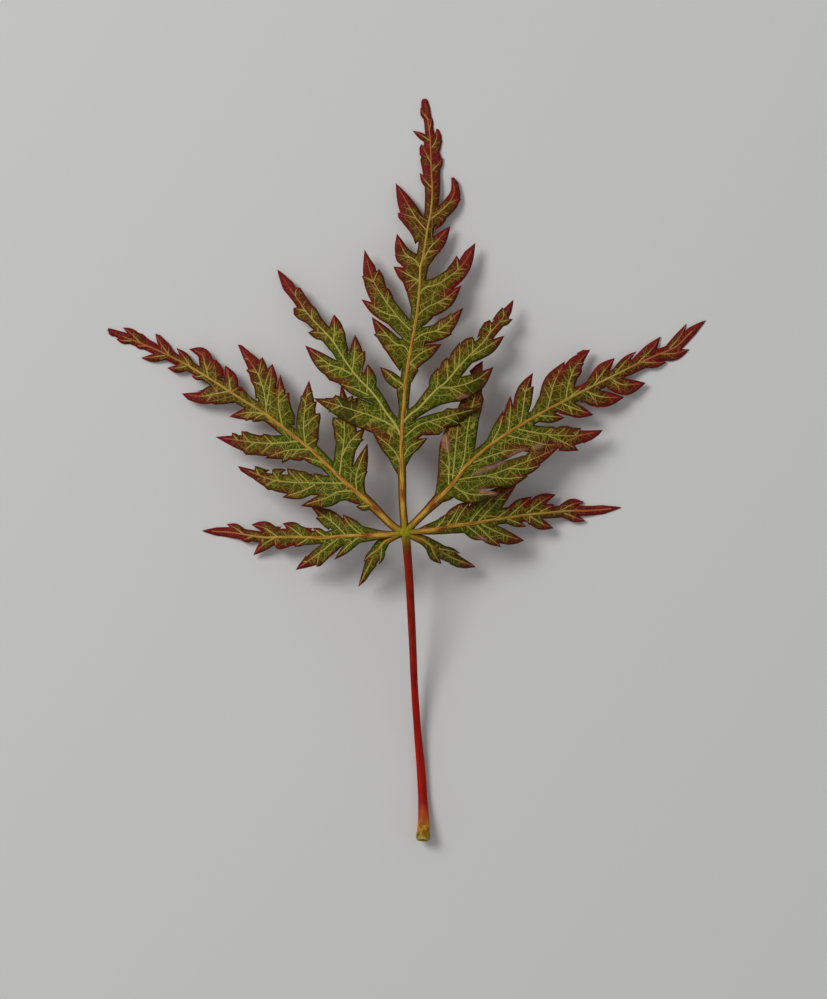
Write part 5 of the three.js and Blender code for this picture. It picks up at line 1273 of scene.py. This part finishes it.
class Shader:
    """A material's node tree, with short calls for the nodes used here."""

    def __init__(self, name, roughness, gloss=0.5):
        self.material = bpy.data.materials.new(name)
        self.material.use_nodes = True
        self.tree = self.material.node_tree
        self.surface = self.tree.nodes["Principled BSDF"]
        self.surface.inputs["Roughness"].default_value = roughness
        self.surface.inputs["Specular IOR Level"].default_value = gloss
        self.place = self.tree.nodes.new("ShaderNodeTexCoord").outputs["Object"]

    def node(self, kind, **settings):
        """A new node with some of its own settings."""
        made = self.tree.nodes.new(kind)
        for key, value in settings.items():
            setattr(made, key, value)
        return made

    def feed(self, socket, value):
        """Links a node's output to a socket, or sets the socket to a number or colour."""
        if isinstance(value, bpy.types.NodeSocket):
            self.tree.links.new(value, socket)
        elif isinstance(value, Color):
            socket.default_value = (*value, 1)
        else:
            socket.default_value = value

    def attribute(self, name):
        """A number that the mesh has at each point."""
        return self.node("ShaderNodeAttribute", attribute_name=name).outputs["Fac"]

    def math(self, operation, a, b, clamp=False):
        """Arithmetic on two numbers."""
        made = self.node("ShaderNodeMath", operation=operation, use_clamp=clamp)
        self.feed(made.inputs[0], a)
        self.feed(made.inputs[1], b)
        return made.outputs[0]

    def ramp(self, value, low, high, start=0.0, end=1.0):
        """start below low, end above high, and smooth between."""
        made = self.node("ShaderNodeMapRange", interpolation_type="SMOOTHSTEP")
        for name, number in zip(("From Min", "From Max", "To Min", "To Max"),
                                (low, high, start, end)):
            made.inputs[name].default_value = number
        self.feed(made.inputs["Value"], value)
        return made.outputs["Result"]

    def mix(self, share, a, b):
        """Colour a where the share is 0, b where it is 1."""
        made = self.node("ShaderNodeMix", data_type="RGBA")
        self.feed(made.inputs[0], share)
        self.feed(made.inputs[6], a)
        self.feed(made.inputs[7], b)
        return made.outputs[2]

    def vector(self, operation, a, b):
        """Vector arithmetic on two vectors."""
        made = self.node("ShaderNodeVectorMath", operation=operation)
        self.feed(made.inputs[0], a)
        self.feed(made.inputs[1], b)
        return made.outputs[0]

    def noise(self, scale, detail=3.0, place=None, output="Fac"):
        """Cloudy noise between 0 and 1, as one number or as three in a colour."""
        made = self.node("ShaderNodeTexNoise")
        made.inputs["Scale"].default_value = scale
        made.inputs["Detail"].default_value = detail
        self.feed(made.inputs["Vector"], place or self.place)
        return made.outputs[output]

    def warped(self, scale, amount):
        """Object coordinates pushed about a little, so that patterns don't run straight."""
        push = self.vector("SUBTRACT", self.noise(scale, 2.0, output="Color"), (0.5, 0.5, 0.5))
        return self.vector("ADD", self.place, self.vector("MULTIPLY", push, (amount,) * 3))

    def net(self, scale, width, place):
        """1 on the lines of an irregular net, 0 in its cells."""
        made = self.node("ShaderNodeTexVoronoi", feature="DISTANCE_TO_EDGE")
        made.inputs["Scale"].default_value = scale
        self.feed(made.inputs["Vector"], place)
        return self.ramp(made.outputs["Distance"], 0.0, width, start=1.0, end=0.0)

    def gradient(self, value, stops):
        """Colours given along a value from 0 to 1."""
        made = self.node("ShaderNodeValToRGB")
        elements = made.color_ramp.elements
        while len(elements) < len(stops):
            elements.new(1.0)
        for element, (place, colour) in zip(elements, stops):
            element.position = place
            element.color = (*colour, 1)
        self.feed(made.inputs["Fac"], value)
        return made.outputs["Color"]

    def bump(self, height, distance, strength):
        """Gives the surface a fine relief that follows a height."""
        made = self.node("ShaderNodeBump")
        made.inputs["Strength"].default_value = strength
        made.inputs["Distance"].default_value = distance
        self.feed(made.inputs["Height"], height)
        self.feed(self.surface.inputs["Normal"], made.outputs["Normal"])

    def colour(self, value):
        """Sets the surface's colour."""
        self.feed(self.surface.inputs["Base Color"], value)


def blade_turned(shader, margin, ripe):
    """How far the green has turned: more at the tips, at the margin and in patches."""
    at_margin = shader.ramp(margin, 0.03, 0.25, start=0.15, end=0.0)
    where_ripe = shader.ramp(ripe, 0.05, 0.5, start=0.4, end=1.0)
    rim = shader.math("MULTIPLY", at_margin, where_ripe)
    patches = shader.math("SUBTRACT", shader.noise(PATCHES), 0.5)
    spread = shader.math("MULTIPLY", patches, 0.6)
    return shader.math("ADD", shader.math("ADD", ripe, rim), spread, clamp=True)


def blade_net(shader, margin, vein):
    """How much the pale lines show: the coarse net most, and all of them less at the margin."""
    place = shader.warped(WARP, WARP_AMOUNT)
    coarse = shader.math("MULTIPLY", shader.net(*COARSE_NET, place), 0.7)
    fine = shader.math("MULTIPLY", shader.net(*FINE_NET, place), 0.48)
    beside_veins = shader.ramp(vein, 0.02, 0.1, start=0.5, end=0.0)
    lines = shader.math("MAXIMUM", shader.math("MAXIMUM", coarse, fine), beside_veins)
    off_margin = shader.ramp(margin, 0.04, 0.25, start=0.1, end=1.0)
    return shader.math("MULTIPLY", lines, off_margin)


def blade_material(colours):
    """Green that turns through olive and brown to crimson, under a fine pale net, with painted
    shade where one lobe lies over another.
    """
    shader = Shader("Leaf blade", roughness=0.5, gloss=0.09)
    mix, ramp, maths = shader.mix, shader.ramp, shader.math
    margin, vein = shader.attribute("margin"), shader.attribute("vein")
    ripe, speckle = shader.attribute("ripeness"), shader.noise(SPECKLE, 2.0)
    turned = blade_turned(shader, margin, ripe)
    lines = blade_net(shader, margin, vein)
    body = shader.gradient(turned, [
        (0.0, colours.green), (0.25, colours.olive), (0.5, colours.brown),
        (0.78, colours.maroon), (1.0, colours.crimson)])
    net = mix(turned, colours.net, colours.turned_net)
    shown = maths("MULTIPLY", lines, ramp(turned, 0.3, 1.0, start=1.0, end=0.4))
    body = mix(shown, body, net)
    # Painted shade: darker green where this lobe lies over another, standing in for the light that
    # no longer shines through from the floor below.
    body = mix(maths("MULTIPLY", shader.attribute("painted_shade_mask"), 0.6), body, colours.painted_overlap_shade)
    strip = mix(ramp(vein, 0.18, 0.34), colours.strip, colours.maroon)
    body = mix(shader.attribute("bare"), body, strip)
    border = mix(ramp(ripe, 0.35, 0.9), colours.edge, colours.crimson)
    body = mix(ramp(margin, 0.02, 0.13, start=0.8, end=0.0), body, border)
    body = mix(ramp(speckle, 0.35, 0.75, start=0.0, end=0.3), body, colours.edge)
    uneven = ramp(speckle, 0.3, 0.6, start=0.45, end=0.85)
    rolled = maths("MULTIPLY", shader.attribute("rolled"), uneven)
    body = mix(rolled, body, colours.underside)
    below = mix(0.6, body, colours.underside)
    shader.colour(mix(shader.attribute("face_up"), below, body))
    shader.feed(shader.surface.inputs["Roughness"],
                ramp(speckle, 0.3, 0.7, start=0.45, end=0.65))
    relief = maths("SUBTRACT", maths("MULTIPLY", speckle, 0.5), lines)
    shader.bump(relief, distance=0.07 * MM, strength=0.7)
    return shader.material


def vein_material(colours):
    """Pale veins that redden at the tips, and tan ribs with streaks along them."""
    shader = Shader("Leaf veins", roughness=0.55, gloss=0.12)
    mix, ramp, maths = shader.mix, shader.ramp, shader.math
    along, tan = shader.attribute("along"), shader.attribute("tan")
    # Streaks run along a vein: the pattern turns quickly round it and slowly along it.
    place = shader.node("ShaderNodeCombineXYZ")
    shader.feed(place.inputs[0], maths("MULTIPLY", shader.attribute("turn"), 1.1))
    shader.feed(place.inputs[1], maths("MULTIPLY", along, 0.55))
    streaks = shader.noise(1.6, 3.0, place.outputs[0])
    grain = shader.noise(VEIN_GRAIN)
    pale = mix(grain, colours.pale, colours.olive)
    pale = mix(ramp(shader.attribute("ripeness"), 0.35, 1.0), pale, colours.turned)
    warm = shader.gradient(streaks, [
        (0.3, colours.dark), (0.45, colours.tan), (0.58, colours.yellow), (0.75, colours.tan)])
    near_heart = maths("MULTIPLY", tan, ramp(along, 0.4, 1.3, start=0.85, end=0.0))
    shader.colour(mix(near_heart, mix(tan, pale, warm), colours.heart))
    relief = maths("ADD", streaks, maths("MULTIPLY", grain, 0.4))
    shader.bump(relief, distance=0.04 * MM, strength=0.5)
    return shader.material


def stalk_material(colours):
    """Brick at the heart, red lower down, and an olive foot with a pale rim, all streaked."""
    shader = Shader("Leaf stalk", roughness=0.45, gloss=0.14)
    mix, ramp, maths = shader.mix, shader.ramp, shader.math
    stretched = shader.node("ShaderNodeMapping")
    stretched.inputs["Scale"].default_value = (1.0, 0.1, 1.0)
    shader.feed(stretched.inputs["Vector"], shader.place)
    streaks = shader.noise(STREAKS, 3.0, stretched.outputs["Vector"])
    along = shader.attribute("along")
    wander = maths("MULTIPLY", maths("SUBTRACT", shader.noise(SPOTS), 0.5), 0.035)
    body = shader.gradient(maths("ADD", along, wander), [
        (0.015, colours.heart), (0.05, colours.brown), (0.095, colours.brick),
        (0.34, colours.brick), (0.5, colours.red), (0.84, colours.red), (0.885, colours.orange),
        (0.92, colours.yellow), (0.945, colours.foot), (0.968, colours.rim),
        (0.985, colours.foot)])
    patches = ramp(shader.noise(FOOT_PATCHES, 2.0), 0.5, 0.62, start=0.0, end=0.7)
    on_foot = maths("MULTIPLY", ramp(along, 0.88, 0.93), patches)
    body = mix(on_foot, body, colours.brown)
    body = mix(ramp(streaks, 0.42, 0.72, start=0.0, end=0.6), body, colours.dark)
    shader.colour(body)
    shader.bump(streaks, distance=0.06 * MM, strength=0.6)
    return shader.material


def plain_material(name, colour, roughness):
    """A matt material of one colour."""
    shader = Shader(name, roughness)
    shader.colour(colour)
    return shader.material


# ---- what a user may change ----


def colour_property(name, description, picked):
    """A colour that a user may change. Its default is given from 0 to 255."""
    return bpy.props.FloatVectorProperty(
        name=name, description=description, default=linear(picked), subtype="COLOR", size=3,
        min=0.0, max=1.0)


def length_property(name, description, default):
    """A length in metres that a user may change."""
    return bpy.props.FloatProperty(
        name=name, description=description, default=default, unit="LENGTH",
        subtype="DISTANCE", precision=6, min=0.0)


class BladeSettings(bpy.types.PropertyGroup):
    """Sizes and colours of the blade."""

    thickness: length_property("Thickness", "Thickness of the blade between veins", 0.18 * MM)
    wave: length_property("Wave", "Height of the low waves in the blade", 0.07 * MM)
    quilting: length_property("Quilting", "How far the blade rises between veins", 0.07 * MM)
    curl: length_property("Curl", "How far the margin turns down", 0.09 * MM)
    fold: bpy.props.FloatProperty(name="Fold", description="Slope down from each vein",
                                  default=0.16, min=0.0)
    roll: length_property("Roll", "How far rolled margins stand up", 0.14 * MM)
    green: colour_property("Green", "Middle of the blade", (62, 80, 0))
    olive: colour_property("Olive", "Where green begins to turn", (80, 72, 0))
    brown: colour_property("Brown", "Half turned", (88, 50, 4))
    maroon: colour_property("Maroon", "Nearly turned", (94, 27, 13))
    crimson: colour_property("Crimson", "Turned tips", (120, 20, 24))
    net: colour_property("Net", "Fine net of veins", (186, 172, 62))
    turned_net: colour_property("Turned net", "The same where turned", (200, 124, 66))
    edge: colour_property("Edge", "Line along the margin", (64, 28, 2))
    # Painted shade: the darker green painted where one lobe lies over another, in place of the
    # light that shines through a single layer.
    painted_overlap_shade: colour_property("Shaded", "Where one lobe covers another", (26, 50, 0))
    strip: colour_property("Strip", "Bare strip beside a rib's root", (150, 106, 24))
    underside: colour_property("Underside", "Pale lower face", (168, 118, 98))


class VeinSettings(bpy.types.PropertyGroup):
    """Sizes and colours of the veins."""

    rib: length_property("Rib radius", "Radius of a main rib at the heart", 0.2 * MM)
    vein: length_property("Vein radius", "Radius of a leaflet's vein at its root", 0.05 * MM)
    side_gap: length_property("Side vein gap", "Distance between side veins", 1.15 * MM)
    sides: bpy.props.IntProperty(name="Sides", description="Sides of a vein", default=8, min=3)
    pale: colour_property("Pale", "Veins of the leaflets", (204, 194, 100))
    olive: colour_property("Olive", "Duller veins", (166, 156, 60))
    turned: colour_property("Turned", "Veins where the blade has turned", (182, 98, 62))
    tan: colour_property("Tan", "Ribs near the heart", (168, 98, 38))
    yellow: colour_property("Yellow", "Pale streaks along the ribs", (204, 166, 62))
    dark: colour_property("Dark", "Dark streaks along the ribs", (112, 42, 12))
    heart: colour_property("Heart", "Where the ribs meet", (150, 142, 26))


class StalkSettings(bpy.types.PropertyGroup):
    """Sizes and colours of the stalk."""

    radius: length_property("Radius", "Radius of the stalk at its middle", 0.28 * MM)
    sides: bpy.props.IntProperty(name="Sides", description="Sides of the stalk", default=32, min=8)
    red: colour_property("Red", "Lower half of the stalk", (172, 18, 0))
    brick: colour_property("Brick", "Upper half of the stalk", (146, 30, 2))
    dark: colour_property("Dark", "Dark streaks", (100, 4, 0))
    orange: colour_property("Orange", "Near both ends", (184, 78, 12))
    yellow: colour_property("Yellow", "Streaks above the foot", (206, 140, 36))
    foot: colour_property("Foot", "Swollen foot", (144, 124, 14))
    rim: colour_property("Rim", "Pale rim of the foot", (206, 188, 96))
    brown: colour_property("Brown", "Patches on the foot", (112, 66, 10))
    heart: colour_property("Heart", "Where the stalk meets the lobes", (160, 146, 26))


class StageSettings(bpy.types.PropertyGroup):
    """The floor, the light and the camera."""

    floor: colour_property("Floor", "Plain pale floor", (226, 225, 222))
    key: bpy.props.FloatProperty(name="Key light", description="Power of the key light",
                                 default=1.12, unit="POWER", min=0.0)
    fill: bpy.props.FloatProperty(name="Fill light", description="Brightness all round",
                                  default=0.32, min=0.0)
    height: length_property("Camera height", "Height of the camera above the floor", 0.412)


# ---- operators ----


class LEAF_OT_blade(bpy.types.Operator):
    """Make the blade: seven lobes cut into toothed leaflets"""

    bl_idname = "maple_leaf.blade"
    bl_label = "Blade"

    def execute(self, context):
        settings = context.scene.leaf_blade
        blade = blade_mesh(settings)
        blade.data.materials.append(blade_material(settings))
        declare(blade)
        return {"FINISHED"}


class LEAF_OT_veins(bpy.types.Operator):
    """Make the ribs, the leaflets' veins and their side veins"""

    bl_idname = "maple_leaf.veins"
    bl_label = "Veins"

    def execute(self, context):
        scene = context.scene
        material = vein_material(scene.leaf_veins)
        declare(veins_mesh(scene.leaf_veins, scene.leaf_blade, material))
        return {"FINISHED"}


class LEAF_OT_stalk(bpy.types.Operator):
    """Make the stalk with its swollen foot, and the lump where the lobes meet"""

    bl_idname = "maple_leaf.stalk"
    bl_label = "Stalk"

    def execute(self, context):
        settings = context.scene.leaf_stalk
        stalk = join_meshes(stalk_mesh(settings), knuckle_mesh())
        stalk.data.materials.append(stalk_material(settings))
        declare(stalk)
        return {"FINISHED"}


class LEAF_OT_stage(bpy.types.Operator):
    """Make the floor, the lights and the camera"""

    bl_idname = "maple_leaf.stage"
    bl_label = "Stage"

    def execute(self, context):
        scene = context.scene
        settings = scene.leaf_stage
        add_floor(settings.floor)
        add_light(settings.key)
        add_world(scene, settings.fill)
        add_camera(scene, settings.height)
        scene.view_settings.view_transform = "Standard"
        return {"FINISHED"}


def add_floor(colour):
    """A broad level floor at the height of the surface that the leaf lies on."""
    mesh = bpy.data.meshes.new("floor")
    corners = [(-1, -1), (1, -1), (1, 1), (-1, 1)]
    mesh.from_pydata([(x * FLOOR_HALF, y * FLOOR_HALF, 0) for x, y in corners], [], [(0, 1, 2, 3)])
    mesh.materials.append(plain_material("Floor", colour, roughness=0.9))
    floor = put_in_scene("floor", mesh)


def add_light(power):
    """A broad soft light, high on the upper left."""
    lamp = bpy.data.lights.new("key", "AREA")
    lamp.shape = "DISK"
    lamp.size = LAMP_SIZE
    lamp.energy = power
    key = put_in_scene("key", lamp)
    key.location = LAMP_PLACE
    key.rotation_euler = (-key.location).to_track_quat("-Z", "Y").to_euler()


def add_world(scene, brightness):
    """Even light from all round, slightly cool."""
    world = bpy.data.worlds.new("studio")
    world.use_nodes = True
    background = world.node_tree.nodes["Background"]
    background.inputs["Color"].default_value = DAYLIGHT
    background.inputs["Strength"].default_value = brightness
    scene.world = world


def add_camera(scene, height):
    """A long lens that looks straight down on the leaf."""
    lens = bpy.data.cameras.new("camera")
    lens.lens = FOCAL_LENGTH
    lens.sensor_width = SENSOR
    lens.sensor_height = SENSOR
    lens.sensor_fit = "VERTICAL"
    lens.clip_start = 0.01
    camera = put_in_scene("camera", lens)
    camera.location = (*CAMERA_PLACE, height)
    scene.camera = camera


class LEAF_PT_panel(bpy.types.Panel):
    """Lists the leaf's pieces and their settings"""

    bl_label = "Maple leaf"
    bl_idname = "LEAF_PT_panel"
    bl_space_type = "VIEW_3D"
    bl_region_type = "UI"
    bl_category = "Maple leaf"

    def draw(self, context):
        for operator, group in ((LEAF_OT_blade, "leaf_blade"), (LEAF_OT_veins, "leaf_veins"),
                                (LEAF_OT_stalk, "leaf_stalk"), (LEAF_OT_stage, "leaf_stage")):
            box = self.layout.box()
            box.operator(operator.bl_idname)
            settings = getattr(context.scene, group)
            for key in settings.__annotations__:
                box.prop(settings, key)


GROUPS = {
    "leaf_blade": BladeSettings,
    "leaf_veins": VeinSettings,
    "leaf_stalk": StalkSettings,
    "leaf_stage": StageSettings,
}
CLASSES = (*GROUPS.values(), LEAF_OT_blade, LEAF_OT_veins, LEAF_OT_stalk, LEAF_OT_stage,
           LEAF_PT_panel)


def register():
    """Registers the classes, and gives each scene their settings."""
    for kind in CLASSES:
        bpy.utils.register_class(kind)
    for name, kind in GROUPS.items():
        setattr(bpy.types.Scene, name, bpy.props.PointerProperty(type=kind))


def unregister():
    """Undoes what register does."""
    for name in GROUPS:
        delattr(bpy.types.Scene, name)
    for kind in reversed(CLASSES):
        bpy.utils.unregister_class(kind)


def main():
    """Makes every piece and the stage."""
    register()
    bpy.ops.maple_leaf.blade()
    bpy.ops.maple_leaf.veins()
    bpy.ops.maple_leaf.stalk()
    bpy.ops.maple_leaf.stage()


if __name__ == "__main__":
    main()
